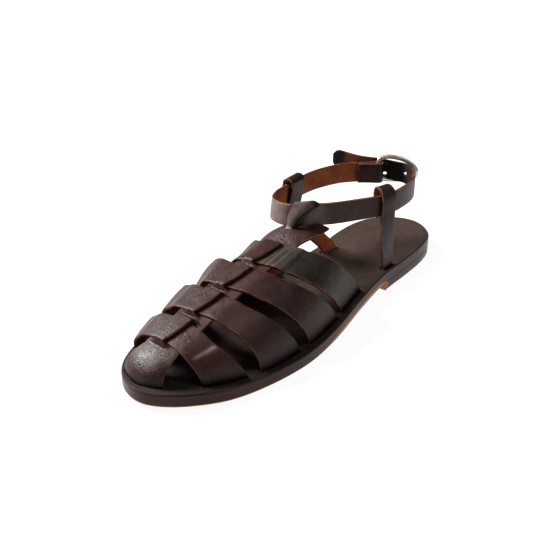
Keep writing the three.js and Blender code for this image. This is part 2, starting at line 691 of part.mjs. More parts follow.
addPiece('insole', insole, 0x46302c, 0.45, 0);
addPiece('outsole', outsole, 0x4a2c2a, 0.35, 0);
addPiece('heel_lift', heelLift, 0x4a2c2a, 0.35, 0);
addPiece('upper', upper, 0x3c2a28, 0.4, 0);
for (const row of KEEPERS) addPiece(row.name, keeper(row, 0), 0x3c2a28, 0.4, 0);
addPiece('ankle_strap', ankle, 0x3c2a28, 0.4, 0);
addPiece('buckle_frame', buckleFrame(), 0xd8cfc2, 0.2, 1);
addPiece('buckle_prong', buckleProng(), 0xd8cfc2, 0.2, 1);

// The outline's widest points lie evenly about the origin
const widest = (column) => Math.max(...SOLE_OUTLINE.map((row) => row[column]));
group.position.x = (widest('medial') - widest('lateral')) / 2;

export default group;
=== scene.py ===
import math

import bmesh
import bpy
import numpy as np
from mathutils import Euler, Matrix, Vector


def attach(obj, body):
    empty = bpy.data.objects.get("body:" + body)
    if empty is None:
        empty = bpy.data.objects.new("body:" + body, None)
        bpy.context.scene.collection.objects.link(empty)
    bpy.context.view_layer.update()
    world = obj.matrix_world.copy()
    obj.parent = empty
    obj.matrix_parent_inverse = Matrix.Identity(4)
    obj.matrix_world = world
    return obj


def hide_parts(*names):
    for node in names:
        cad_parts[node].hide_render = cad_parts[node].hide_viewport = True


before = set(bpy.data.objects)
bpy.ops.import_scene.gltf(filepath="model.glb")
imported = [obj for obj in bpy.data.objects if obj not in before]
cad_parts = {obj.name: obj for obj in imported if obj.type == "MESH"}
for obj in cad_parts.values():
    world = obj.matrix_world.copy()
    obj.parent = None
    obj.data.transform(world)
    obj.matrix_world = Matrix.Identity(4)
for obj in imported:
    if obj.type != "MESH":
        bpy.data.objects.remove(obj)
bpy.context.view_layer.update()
print("frame loaded:", ", ".join(sorted(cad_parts)))

mm = 0.001

# shapes are in millimetres: s runs from the back of the heel to the toe, x to the outer side
sole = {
    "length": 250.0, "insole": 3.25, "thick": 7.0, "heelLift": 5.4, "heelBreast": 78.0, "seam": 0.01,
    "archStart": 70.0, "archEnd": 165.0, "toeSpring": 3.0, "springStart": 195.0, "springPower": 1.5,
    "sideShift": 0.5, "topRound": 1.1, "seamRound": 0.05, "floorRound": 0.55,
    "stations": 150, "across": 26, "rows": 9, "arcSteps": 6,
    "s": [0, 4, 14, 30, 50, 80, 110, 140, 165, 182, 200, 220, 235, 245, 250],
    "lateral": [0, 11.2, 20.8, 25.5, 27.4, 28.9, 33.0, 38.3, 40.8, 40.1, 37.0, 31.2, 22.8, 13.2, 0],
    "medial": [0, 12.6, 22.6, 27.4, 27.4, 23.8, 27.2, 35.7, 41.2, 41.8, 38.6, 32.8, 25.0, 15.4, 0],
}

# the foot form under the straps: half widths from its crest line, and height
last = {
    "toe": 244.6, "crestX": -3.0, "lateralPower": 2.5, "medialPower": (1.85, 2.25), "powerSpan": (154, 176),
    "s": [80, 105, 127, 145, 164, 186, 208, 228, 238, 244.6],
    "lateral": [25.5, 28.5, 32.5, 35.5, 37.0, 36.0, 30.8, 21.2, 13.6, 0],
    "medial": [13.5, 16.5, 22.5, 28.5, 32.5, 33.6, 30.0, 22.6, 15.6, 0],
    "height": [34.0, 35.3, 37.6, 35.9, 33.2, 28.0, 21.9, 14.6, 9.6, 0],
}


def smooth(x, a, b):
    t = np.clip((x - a) / (b - a), 0, 1)
    return t * t * (3 - 2 * t)


def between(x, rise, fall):
    return smooth(x, *rise) * (1 - smooth(x, *fall))


def mix(a, b, t):
    return a + (b - a) * t


def bell(x, centre, width):
    return np.exp(-((x - centre) / width) ** 2)


def edgeFall(v, width, reach=0.8):
    # 1 at both edges of a strip of this width, falling inwards
    return np.exp(-np.minimum(v, 1 - v) * width / reach)


def unitRows(a):
    return a / np.maximum(np.linalg.norm(a, axis=-1, keepdims=True), 1e-9)


def ringPairs(n):
    return [(i, (i + 1) % n) for i in range(n)]


def columnCurve(xs, ys):
    xs, ys = np.asarray(xs, float), np.asarray(ys, float)

    def spread(a):
        return np.append(a[1:], a[-1]) - np.append(a[0], a[:-1])
    slope = spread(ys) / spread(xs)

    def at(x):
        i = np.searchsorted(xs[1:-1], x)
        span = xs[i + 1] - xs[i]
        t = np.clip((x - xs[i]) / span, 0, 1)
        rise = ys[i + 1] - ys[i]
        a, b = slope[i] * span, slope[i + 1] * span
        return ys[i] + t * (a + t * (3 * rise - 2 * a - b + t * (a + b - 2 * rise)))
    return at


def soleTop(s):
    heel = sole["heelLift"] * (1 - smooth(s, sole["archStart"], sole["archEnd"]))
    spring = sole["toeSpring"] * smooth(s, sole["springStart"], sole["length"]) ** sole["springPower"]
    return sole["thick"] + heel + spring


def soleAngle(s):
    return np.arccos(np.clip(1 - 2 * np.asarray(s, float) / sole["length"], -1, 1))


def stationY(s):
    # from s to y, and also from y to s
    return sole["length"] / 2 - s


def toeRoot(s):
    return -np.sqrt(np.maximum(last["toe"] - np.asarray(s, float), 0))


sideNames = ("lateral", "medial")
outlineLateral, outlineMedial = [columnCurve(soleAngle(sole["s"]), sole[key]) for key in sideNames]
lastLateral, lastMedial, lastHeight = [columnCurve(toeRoot(last["s"]), last[key])
                                       for key in (*sideNames, "height")]


def lastHalf(s, side):
    return np.where(side > 0, lastLateral(toeRoot(s)), lastMedial(toeRoot(s)))


def sidePower(s, side):
    inner = mix(*last["medialPower"], smooth(s, *last["powerSpan"]))
    return np.where(side > 0, last["lateralPower"], inner)


def lastByOffset(s, d):
    # a place on the last from its distance d beside the crest line
    power = sidePower(s, d)
    ratio = np.minimum(np.abs(d) / np.maximum(lastHalf(s, d), 1e-6), 1)
    rise = (1 - ratio ** power) ** (1 / power)
    x = last["crestX"] + d + 0 * s
    return np.stack([x, stationY(s) + 0 * x, soleTop(s) + lastHeight(toeRoot(s)) * rise], -1)


def lastByTurn(s, turn):
    # the same from its angle round the crest line
    c = np.cos(turn)
    return lastByOffset(s, lastHalf(s, c) * np.abs(c) ** (2 / sidePower(s, c)) * np.sign(c))


def catmull(points, t):
    # centripetal curve through rows of points, t from 0 to 1 over the rows
    points = np.asarray(points, float)
    n = len(points)
    ends = np.concatenate([[2 * points[0] - points[1]], points, [2 * points[-1] - points[-2]]])
    place = np.clip(np.asarray(t, float), 0, 1) * (n - 1)
    i = np.minimum(place.astype(int), n - 2)
    w = (place - i)[..., None]
    p0, p1, p2, p3 = ends[i], ends[i + 1], ends[i + 2], ends[i + 3]

    def stretch(a, b):
        return np.maximum(np.sqrt(np.linalg.norm(b - a, axis=-1)), 1e-4)[..., None]
    d0, d1, d2 = stretch(p0, p1), stretch(p1, p2), stretch(p2, p3)
    t1 = ((p1 - p0) / d0 - (p2 - p0) / (d0 + d1) + (p2 - p1) / d1) * d1
    t2 = ((p2 - p1) / d1 - (p3 - p1) / (d1 + d2) + (p3 - p2) / d2) * d1
    return p1 + t1 * w + (3 * p2 - 3 * p1 - 2 * t1 - t2) * w ** 2 + (2 * p1 - 2 * p2 + t1 + t2) * w ** 3


def wander(x, y, seed):
    # slow unevenness between -1 and 1
    a = np.sin(x * 0.21 + seed * 1.7) * np.cos(y * 0.17 - seed)
    b = np.sin(x * 0.067 - y * 0.083 + seed * 2.3)
    c = np.sin(x * 0.43 + y * 0.37 + seed * 4.1)
    return (a + b + 0.4 * c) / 2.4


def newObject(name, data):
    thing = bpy.data.objects.new(name, data)
    bpy.context.scene.collection.objects.link(thing)
    return thing


def smoothFaces(mesh):
    mesh.polygons.foreach_set("use_smooth", np.ones(len(mesh.polygons), bool))


def meshObject(name, points, faces, marks=None, paint=None, materials=()):
    points = np.asarray(points, float).copy()
    points[:, 0] += sole["sideShift"]
    mesh = bpy.data.meshes.new(name)
    mesh.from_pydata((points * mm).tolist(), [], [list(f) for f in faces])
    for material in materials:
        mesh.materials.append(material)
    if marks is not None:
        mesh.polygons.foreach_set("material_index", np.asarray(marks, np.int32))
    for key, values in (paint or {}).items():
        layer = mesh.attributes.new(key, "FLOAT", "POINT")
        layer.data.foreach_set("value", np.asarray(values, np.float32))
    smoothFaces(mesh)
    mesh.update()
    return newObject(name, mesh)


def finalMesh(piece):
    graph = bpy.context.evaluated_depsgraph_get()
    return bpy.data.meshes.new_from_object(piece.evaluated_get(graph))


def settle(piece):
    # turn the modifiers' result into a plain mesh
    done = finalMesh(piece)
    piece.modifiers.clear()
    piece.data = done
    return piece


def roundEdges(piece, width):
    bevel = piece.modifiers.new("edge", "BEVEL")
    bevel.width = width * mm
    bevel.segments = 2
    bevel.limit_method = "ANGLE"
    bevel.angle_limit = math.radians(50)
    bevel.use_clamp_overlap = True
    return settle(piece)


def cutAway(piece, cutters):
    for cutter in cutters:
        gone = piece.modifiers.new("cut", "BOOLEAN")
        gone.operation = "DIFFERENCE"
        gone.solver = "EXACT"
        gone.object = cutter
    settle(piece)
    for cutter in cutters:
        bpy.data.objects.remove(cutter)
    return piece


def outwardFaces(piece):
    work = bmesh.new()
    work.from_mesh(piece.data)
    bmesh.ops.recalc_face_normals(work, faces=work.faces)
    work.to_mesh(piece.data)
    work.free()
    return piece


def sheetNormal(point, u, v, step=1e-3):
    du = point(np.minimum(u + step, 1), v) - point(np.maximum(u - step, 0), v)
    dv = point(u, np.minimum(v + step, 1)) - point(u, np.maximum(v - step, 0))
    return unitRows(np.cross(du, dv))


# the faces of a sheet's cell: material, the cell that hides the face, and corners as (outer, i, j)
cellFaces = [(0, None, (1, 0, 0), (1, 1, 0), (1, 1, 1), (1, 0, 1)),
             (2, None, (0, 0, 0), (0, 0, 1), (0, 1, 1), (0, 1, 0)),
             (1, (1, 0), (0, 0, 0), (0, 1, 0), (1, 1, 0), (1, 0, 0)),
             (1, (1, 2), (0, 0, 1), (1, 0, 1), (1, 1, 1), (0, 1, 1)),
             (1, (0, 1), (0, 0, 0), (1, 0, 0), (1, 0, 1), (0, 0, 1)),
             (1, (2, 1), (0, 1, 0), (0, 1, 1), (1, 1, 1), (1, 1, 0))]


def sheetPiece(name, point, us, vs, low, high, materials, keep=True, paint=None, bevel=0.35):
    # closed wall over a sheet: material 0 outside, 1 on the cut edges, 2 inside
    u, v = np.meshgrid(us, vs, indexing="ij")
    nu, nv = u.shape
    count = nu * nv
    cells = np.zeros((nu + 1, nv + 1), bool)
    cells[1:-1, 1:-1] = keep
    faces = []
    marks = []
    for mark, hider, *corners in cellFaces:
        show = cells[1:-1, 1:-1]
        if hider:
            a, b = hider
            show = show & ~cells[a:a + nu - 1, b:b + nv - 1]
        i, j = np.nonzero(show)
        faces.append(np.stack([side * count + (i + a) * nv + j + b for side, a, b in corners], -1))
        marks += [mark] * len(i)
    used, order = np.unique(np.concatenate(faces), return_inverse=True)
    normal = sheetNormal(point, u, v)
    sides = [point(u, v) + normal * (f(u, v)[..., None] if callable(f) else f) for f in (low, high)]
    points = np.concatenate(sides).reshape(-1, 3)[used]
    layers = {key: np.tile(np.broadcast_to(a, u.shape).ravel(), 2)[used]
              for key, a in (paint(u, v) if paint else {}).items()}
    layers["wall"] = (used >= count).astype(float)
    piece = meshObject(name, points, order.reshape(-1, 4).tolist(), marks, layers, materials)
    return roundEdges(piece, bevel) if bevel else piece


def edgeSteps(width, inner, rim=0.7):
    # steps across a strip of this width, with one narrow step at each edge
    return np.concatenate([[0], np.linspace(rim / width, 1 - rim / width, inner), [1]])


class Link:
    def __init__(self, board, socket):
        self.board = board
        self.socket = socket

    def beside(self, out):
        return Link(self.board, self.socket.node.outputs[out])

    def maths(self, operation, other):
        return self.board.add("ShaderNodeMath", {"operation": operation}, {0: self, 1: other})

    def __add__(self, other):
        return self.maths("ADD", other)

    def __sub__(self, other):
        return self.maths("SUBTRACT", other)

    def __mul__(self, other):
        return self.maths("MULTIPLY", other)

    __radd__ = __add__
    __rmul__ = __mul__


class Board:
    # a new material's nodes, or those of a given tree
    def __init__(self, name, tree=None):
        self.tree = tree
        if tree is None:
            self.material = bpy.data.materials.new(name)
            self.material.use_nodes = True
            self.tree = self.material.node_tree
            self.tree.nodes.clear()

    def add(self, kind, settings=None, inputs=None, out=0):
        node = self.tree.nodes.new(kind)
        for key, value in (settings or {}).items():
            setattr(node, key, value)
        for key, value in (inputs or {}).items():
            if isinstance(value, Link):
                self.tree.links.new(value.socket, node.inputs[key])
            else:
                node.inputs[key].default_value = value
        return Link(self, node.outputs[out]) if len(node.outputs) else None

    def place(self, scale=None):
        place = self.add("ShaderNodeTexCoord", out="Object")
        return self.add("ShaderNodeMapping", {}, {"Vector": place, "Scale": scale}) if scale else place

    def noise(self, scale, detail=3.0, rough=0.55, where=None):
        inputs = {"Vector": where or self.place(), "Scale": scale, "Detail": detail, "Roughness": rough}
        return self.add("ShaderNodeTexNoise", {}, inputs)

    def pores(self, scale, wide):
        inputs = {"Vector": self.place(), "Scale": scale, "Randomness": 1.0}
        return self.band(self.add("ShaderNodeTexVoronoi", {"feature": "DISTANCE_TO_EDGE"}, inputs), 0.0, wide)

    def band(self, value, low, high):
        inputs = {"Value": value, "From Min": low, "From Max": high}
        return self.add("ShaderNodeMapRange", {"interpolation_type": "SMOOTHSTEP"}, inputs)

    def attribute(self, name):
        return self.add("ShaderNodeAttribute", {"attribute_name": name}, out="Fac")

    def blend(self, factor, a, b):
        return self.add("ShaderNodeMix", {"data_type": "RGBA"}, {0: factor, 6: a, 7: b}, out=2)

    def bump(self, height, distance, strength=1.0, under=None):
        inputs = {"Height": height, "Distance": distance, "Strength": strength}
        if under:
            inputs["Normal"] = under
        return self.add("ShaderNodeBump", {}, inputs)

    def finish(self, inputs):
        shader = self.add("ShaderNodeBsdfPrincipled", {}, inputs)
        self.add("ShaderNodeOutputMaterial", {}, {"Surface": shader})
        return self.material


def colour(r, g, b):
    # display values 0 to 255 to linear light
    def one(c):
        c = c / 255
        return c / 12.92 if c <= 0.04045 else ((c + 0.055) / 1.055) ** 2.4
    return (one(r), one(g), one(b), 1.0)


# the pale colour paints highlights and sheen, and the darkest colour paints shade
strapLook = {
    "dark": colour(31, 15, 12), "light": colour(54, 29, 24), "tan": colour(128, 82, 50),
    "pale": colour(150, 132, 126), "shadeColour": colour(9, 6, 5), "shine": 0.2, "rough": 0.38,
    "cloud": 38.0, "mottle": 210.0, "crease": 95.0, "pebble": 520.0, "grain": 1500.0,
    "creaseDepth": 0.00024, "pebbleDepth": 0.00026, "grainDepth": 0.00006, "rubbed": 0.4, "shadeDepth": 0.85,
}


def strapLeather(name, look):
    b = Board(name)
    cloud = b.noise(look["cloud"], 4.0)
    mottle = b.noise(look["mottle"], 3.0, 0.6)
    tone = b.band(cloud * 0.6 + mottle * 0.4, 0.36, 0.66)
    base = b.blend(tone, look["dark"], look["light"])
    rub = b.band(b.attribute("rim") + (mottle - 0.5) * 0.7, 0.55, 1.0)
    base = b.blend(rub * look["rubbed"], base, look["tan"])
    # painted highlight and sheen in the pale colour, partly scuffing
    base = b.blend(b.attribute("scuff") * (0.65 + 0.35 * b.band(mottle, 0.3, 0.7)), base, look["pale"])
    # painted shade: the darkest colour laid on where the shade attribute is set
    base = b.blend(b.attribute("shade") * look["shadeDepth"], base, look["shadeColour"])
    creases = b.band(b.noise(look["crease"], 5.0, 0.62), 0.42, 0.62)
    soft = b.bump(creases, look["creaseDepth"], 0.5)
    soft = b.bump(b.noise(look["pebble"], 3.0, 0.6), look["pebbleDepth"], 0.5, soft)
    normal = b.bump(b.pores(look["grain"], 0.18), look["grainDepth"], 0.6, soft)
    rough = look["rough"] + (mottle - 0.5) * 0.22 + (cloud - 0.5) * 0.14
    return b.finish({"Base Color": base, "Roughness": rough, "Normal": normal,
                     "Specular IOR Level": look["shine"]})


def cutEdge(name, pale, deep, dye):
    b = Board(name)
    fibre = b.noise(900.0, 4.0, 0.7)
    patch = b.noise(120.0, 3.0)
    base = b.blend(b.band(fibre, 0.3, 0.7), deep, pale)
    worn = b.attribute("wall") + (fibre - 0.5) * 0.5 + (patch - 0.5) * 1.2
    base = b.blend(b.band(worn, 0.45, 0.85), dye, base)
    return b.finish({"Base Color": base, "Roughness": 0.72, "Specular IOR Level": 0.2,
                     "Normal": b.bump(fibre, 0.00015, 0.6)})


def fleshSide(name, pale, deep, stain):
    b = Board(name)
    nap = b.noise(1300.0, 4.0, 0.7)
    patch = b.noise(70.0, 4.0)
    base = b.blend(b.band(nap * 0.5 + patch * 0.5, 0.34, 0.66), deep, pale)
    base = b.blend(b.band(b.attribute("stain") + (patch - 0.5) * 0.5, 0.3, 0.8), base, stain)
    return b.finish({"Base Color": base, "Roughness": 0.85, "Specular IOR Level": 0.15,
                     "Normal": b.bump(nap, 0.00018, 0.7)})


brown = strapLeather("strap_brown", strapLook)
black = strapLeather("strap_black", {**strapLook, "dark": colour(33, 27, 21), "light": colour(52, 44, 36)})
tanEdge = cutEdge("cut_edge", colour(134, 88, 54), colour(70, 41, 27), colour(32, 19, 15))
# a darker copy of the cut edge for the spine's slits: painted shade
slitEdgeShaded = cutEdge("slit_edge_shaded", colour(118, 76, 48), colour(64, 39, 26), colour(26, 16, 13))
flesh = fleshSide("flesh_side", colour(158, 92, 55), colour(106, 55, 32), colour(20, 15, 12))
strapSet = (brown, tanEdge, flesh)
pieces = []


def keepPiece(piece, slot, *nodes):
    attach(piece, "root")
    if nodes:
        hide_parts(*nodes)
    pieces.append(piece)


edgeNames = ("lateral", "outerMid", "crest", "innerMid", "medial")
straps = {
    "leather": 1.8, "layer": 1.45, "slotDepth": 2.8, "slotGrow": 4, "dip": 0.06, "cover": (12.5, 20.0),
    "along": 150, "across": 22, "width": 20.0, "uneven": 0.16, "thinEdge": 0.12, "thinReach": 0.9,
    "footShade": 0.75, "footHigh": 7.0, "stain": 0.3,
    "backFlare": [0.2, 0.6, 3.4, 1.8], "flareTurn": 2.25, "flareSpread": 0.28,
    "frontTuck": [0.4, 1.4, 3.6, 5.0], "tuckIn": (1.75, 2.25), "tuckOut": (2.5, 3.1), "tuckPower": 1.3,
    "front": [dict(zip(edgeNames, row)) for row in (
        (225.8, 228.3, 228, 227.6, 224), (197, 202.2, 207.2, 204.5, 196),
        (162, 176.3, 186, 182.5, 169), (128.5, 151, 163.8, 162, 150))],
    "back": [dict(zip(edgeNames, row)) for row in (
        (204.6, 213.2, 213, 213, 207), (170.5, 184.8, 192, 187, 177),
        (134, 156.5, 169.6, 164, 151), (103.5, 128, 145.5, 137, 112))],
}
# painted highlight: a pale streak across the first strap, where its bend catches the light
streak = {"turn": 46, "bend": 4, "wide": 2.4, "from": (0, 0.12), "to": (0.7, 0.95), "scuff": 0.6}
# puckers of the last strap beside the spine, the crease that ends them, and the line along its back edge
rear = {
    "puckerAt": 9.5, "puckerSpread": 4.2, "puckerWave": 2.1, "puckerHigh": 0.4, "puckerFrom": (0.05, 0.4),
    "creaseAt": 16.5, "creaseLean": 1.5, "creaseWide": 1.0, "creaseDeep": 0.6,
    "lineAt": 0.1, "lineWide": 0.022, "lineDeep": 0.32, "lineFrom": (18, 24),
    # painted sheen on the last strap, from beside the spine up to the crease
    "scuff": 0.09, "sheenFrom": (4, 6), "sheenTo": (15.5, 16.5),
}


def edgeStation(row, turn):
    r = np.abs(1 - 2 * turn / math.pi)
    outer = turn < math.pi / 2
    mid = np.where(outer, row["outerMid"], row["innerMid"])
    foot = np.where(outer, row["lateral"], row["medial"])
    return row["crest"] * (1 - r) * (1 - 2 * r) + mid * 4 * r * (1 - r) + foot * r * (2 * r - 1)


def strapTurn(u):
    return math.pi * np.clip((u - straps["dip"]) / (1 - 2 * straps["dip"]), 0, 1)


def strapPoint(k, grow=0.0):
    def point(u, v):
        dip = straps["dip"]
        turn = strapTurn(u)
        front = edgeStation(straps["front"][k], turn) + grow
        back = edgeStation(straps["back"][k], turn) - grow
        p = lastByTurn(mix(back, front, v), turn)
        below = np.maximum(np.maximum(dip - u, u - 1 + dip), 0) / dip
        p[..., 2] -= below * (straps["slotDepth"] + straps["slotGrow"] * grow)
        return p
    return point


def strapLift(k, point, u, v):
    # over the spine's margins, with the back edge standing off and the front edge tucked in on the inner side
    d = np.abs(point(u, v)[..., 0] - last["crestX"])
    turn = strapTurn(u)
    off = straps["backFlare"][k] * bell(turn, straps["flareTurn"], straps["flareSpread"]) * (1 - v)
    tuck = between(turn, straps["tuckIn"], straps["tuckOut"])
    tuck = tuck * straps["frontTuck"][k] * v ** straps["tuckPower"]
    return straps["layer"] * (1 - smooth(d, *straps["cover"])) + off - tuck


def rearFolds(d, v):
    wave = np.sin(d * rear["puckerWave"] + 0.4 * np.sin(v * 5))
    pucker = wave * bell(d, rear["puckerAt"], rear["puckerSpread"])
    crease = bell(d - rear["creaseLean"] * v, rear["creaseAt"], rear["creaseWide"])
    line = bell(v, rear["lineAt"], rear["lineWide"]) * smooth(d, *rear["lineFrom"])
    return (rear["puckerHigh"] * pucker * smooth(v, *rear["puckerFrom"])
            - rear["creaseDeep"] * crease - rear["lineDeep"] * line)


# painted shade that darkens the straps and spine towards the sole
def footShade(p, s):
    return straps["footShade"] * (1 - smooth(p[..., 2] - soleTop(s), 0, straps["footHigh"]))


def crossStrap(k):
    point = strapPoint(k)
    us = np.linspace(0, 1, straps["along"])
    vs = edgeSteps(straps["width"], straps["across"])

    def low(u, v):
        return strapLift(k, point, u, v)

    def high(u, v):
        p = point(u, v)
        body = straps["leather"] + straps["uneven"] * wander(p[..., 0], p[..., 1], k + 1.0)
        body = body - straps["thinEdge"] * edgeFall(v, straps["width"], straps["thinReach"])
        if k == 3:
            body = body + rearFolds(p[..., 0] - last["crestX"], v)
        return low(u, v) + body

    def paint(u, v):
        width = np.linalg.norm(point(u, v * 0 + 1) - point(u, v * 0), axis=-1)
        p = point(u, v)
        s = stationY(p[..., 1])
        d = p[..., 0] - last["crestX"]
        outer, inner = slitLines(s)
        # painted shadow where the strap goes under the edges of the band
        beside = bell(d, outer + 0.3, 0.6) + bell(d, inner - 1.1, 1.2)
        scuff = 0
        # painted highlight along the bend of the first strap
        if k == 0:
            turn = np.degrees(strapTurn(u)) + streak["bend"] * v * v
            length = between(v, streak["from"], streak["to"])
            scuff = streak["scuff"] * bell(turn, streak["turn"], streak["wide"]) * length
        # painted sheen on the last strap up to its crease
        if k == 3:
            past = smooth(d - rear["creaseLean"] * v, *rear["sheenTo"])
            scuff = rear["scuff"] * smooth(d, *rear["sheenFrom"]) * (1 - past)
        return {"rim": edgeFall(v, width), "stain": straps["stain"],
                "shade": np.minimum(beside + footShade(p, s), 1), "scuff": scuff}
    materials = (black, tanEdge, flesh) if k == 3 else strapSet
    return sheetPiece("cross_strap_%d" % (k + 1), point, us, vs, low, high, materials, paint=paint)


spine = {
    "lateral": 11.5, "lateralOut": 4.2, "wideSpan": (126, 143), "topLateral": 116.5, "topMedial": 129.0,
    "medial": -12.0, "medialIn": 4.2, "narrowFrom": (140, 158), "narrowTo": (230, 240),
    "outerFront": 2.2, "outerGrow": 3.1, "innerFront": -2.2, "innerGrow": -1.2, "slit": 0.7,
    "ahead": 1.0, "behind": 1.2, "lastNeck": 8, "reach": 3.4, "bandRise": 3.0, "fan": 4.0,
    "tuckEnd": 1.6, "tuckRise": 1.4, "proud": 0.4, "toeShare": 0.3, "dip": 0.04, "startAhead": 2,
    "raise": 3.0, "raiseFrom": 147.0, "raiseOver": 15.0, "sink": 0.55, "sinkFrom": 131, "sinkOver": 9,
    "cornerRaise": 3.6, "cornerAcross": (2, 13), "cornerAlong": (114, 136),
    "toeSteps": 46, "steps": 220, "sideSteps": 8, "bandSteps": 11, "uneven": 0.1,
    "neckWide": (1.6, 4), "neckRub": 0.6, "marginShadeFrom": (150, 160), "marginShadeTo": (224, 229),
}
spineStart = straps["front"][0]["crest"] + spine["startAhead"]
slitFronts = [row["crest"] + spine["ahead"] for row in straps["front"]]
slitBacks = [row["crest"] - spine["behind"] for row in straps["back"]]
slitNext = slitFronts[1:] + [slitBacks[3] - spine["lastNeck"]]


def footStation(d):
    # where the last's edge at the toe lies at this distance from the crest line
    d = np.asarray(d, float)
    a = np.full(d.shape, 200.0)
    b = np.full(d.shape, last["toe"])
    for _ in range(40):
        m = (a + b) / 2
        wide = lastHalf(m, d) > np.abs(d)
        a = np.where(wide, m, a)
        b = np.where(wide, b, m)
    return a


def spineOffset(v):
    return mix(spine["lateral"], spine["medial"], v)


def spineStation(u, v):
    toe, dip = spine["toeShare"], spine["dip"]
    end = mix(spine["topLateral"], spine["topMedial"], v)
    w = np.clip((u - dip) / (toe - dip), 0, 1)
    front = mix(spineStart, footStation(spineOffset(v)), np.cos(math.pi / 2 * w))
    return np.where(u < toe, front, mix(spineStart, end, (u - toe) / (1 - toe)))


def bandGrowth(s):
    # 0 at the narrow front end of each raised band, 1 at its wide back end
    g = 0 * s
    for front, back, after in zip(slitFronts, slitBacks, slitNext):
        w = np.clip((front - s) / (front - back), 0, 1)
        g = np.where((s <= front) & (s >= back), 1 - (1 - w) ** 2, g)
        g = np.where((s < back) & (s > after), 1 - smooth(back - s, 0, back - after), g)
    return g


def slitLines(s):
    g = bandGrowth(s)
    return spine["outerFront"] + spine["outerGrow"] * g, spine["innerFront"] + spine["innerGrow"] * g


def medialEdge(s):
    # narrower beside the straps than at the toe and the ankle strap
    return spine["medial"] + spine["medialIn"] * between(s, spine["narrowFrom"], spine["narrowTo"])


def lateralEdge(s):
    # wider behind the last strap
    return spine["lateral"] + spine["lateralOut"] * (1 - smooth(s, *spine["wideSpan"]))


def warpedOffset(s, d):
    # the columns of the grid follow the slits
    outer, inner = slitLines(s)
    slit = spine["slit"]
    a, b = spine["outerFront"], spine["innerFront"]
    middle = mix(outer, inner, (a - d) / (a - b))
    outside = mix(outer + slit, lateralEdge(s), (d - a - slit) / (spine["lateral"] - a - slit))
    inside = mix(inner - slit, medialEdge(s), (b - slit - d) / (b - slit - spine["medial"]))
    narrowOut = outer + d - a
    narrowIn = inner + d - b
    zones = [d > a + slit, d > a, d >= b, d >= b - slit]
    return np.select(zones, [outside, narrowOut, middle, narrowIn], inside)


def spineRaise(s):
    # the top of the spine climbs to the ankle strap, and sinks a little at its end
    climb = smooth(spine["raiseFrom"] - s, 0, spine["raiseOver"])
    return spine["raise"] * climb * (1 - spine["sink"] * smooth(spine["sinkFrom"] - s, 0, spine["sinkOver"]))


def spinePlace(u, v):
    s = spineStation(u, v)
    return s, warpedOffset(s, spineOffset(v))


def spinePoint(u, v, grow=0.0):
    s, d = spinePlace(u, v)
    d = d * (1 + grow / spine["lateral"])
    p = lastByOffset(s, d)
    corner = smooth(d, *spine["cornerAcross"]) * (1 - smooth(s, *spine["cornerAlong"]))
    p[..., 2] += spineRaise(s) + spine["cornerRaise"] * corner
    below = np.maximum(spine["dip"] - u, 0) / spine["dip"]
    p[..., 2] -= below * (straps["slotDepth"] + straps["slotGrow"] * grow)
    return p


def spineLift(s, d):
    # bands climb over the straps, and the margins beside them stay flat under the straps
    band = 0 * s
    under = 0 * s
    reach, rise = spine["reach"], spine["bandRise"]
    end, climb = spine["tuckEnd"], spine["tuckRise"]
    for front, back in zip(straps["front"], straps["back"]):
        ahead = front["crest"] - s
        behind = s - back["crest"]
        band = band + smooth(ahead + reach, 0, rise) * smooth(behind + reach, 0, rise)
        under = under + smooth(ahead + end, 0, climb) * smooth(behind + end, 0, climb)
    outer, inner = slitLines(s)
    away = np.maximum(d - outer, inner - d)
    middle = (2 * straps["layer"] + spine["proud"]) * np.minimum(band, 1)
    margin = middle * (1 - np.minimum(under, 1)) * (1 - smooth(away, 0, spine["fan"]))
    return np.where(away < 0.01, middle, margin)


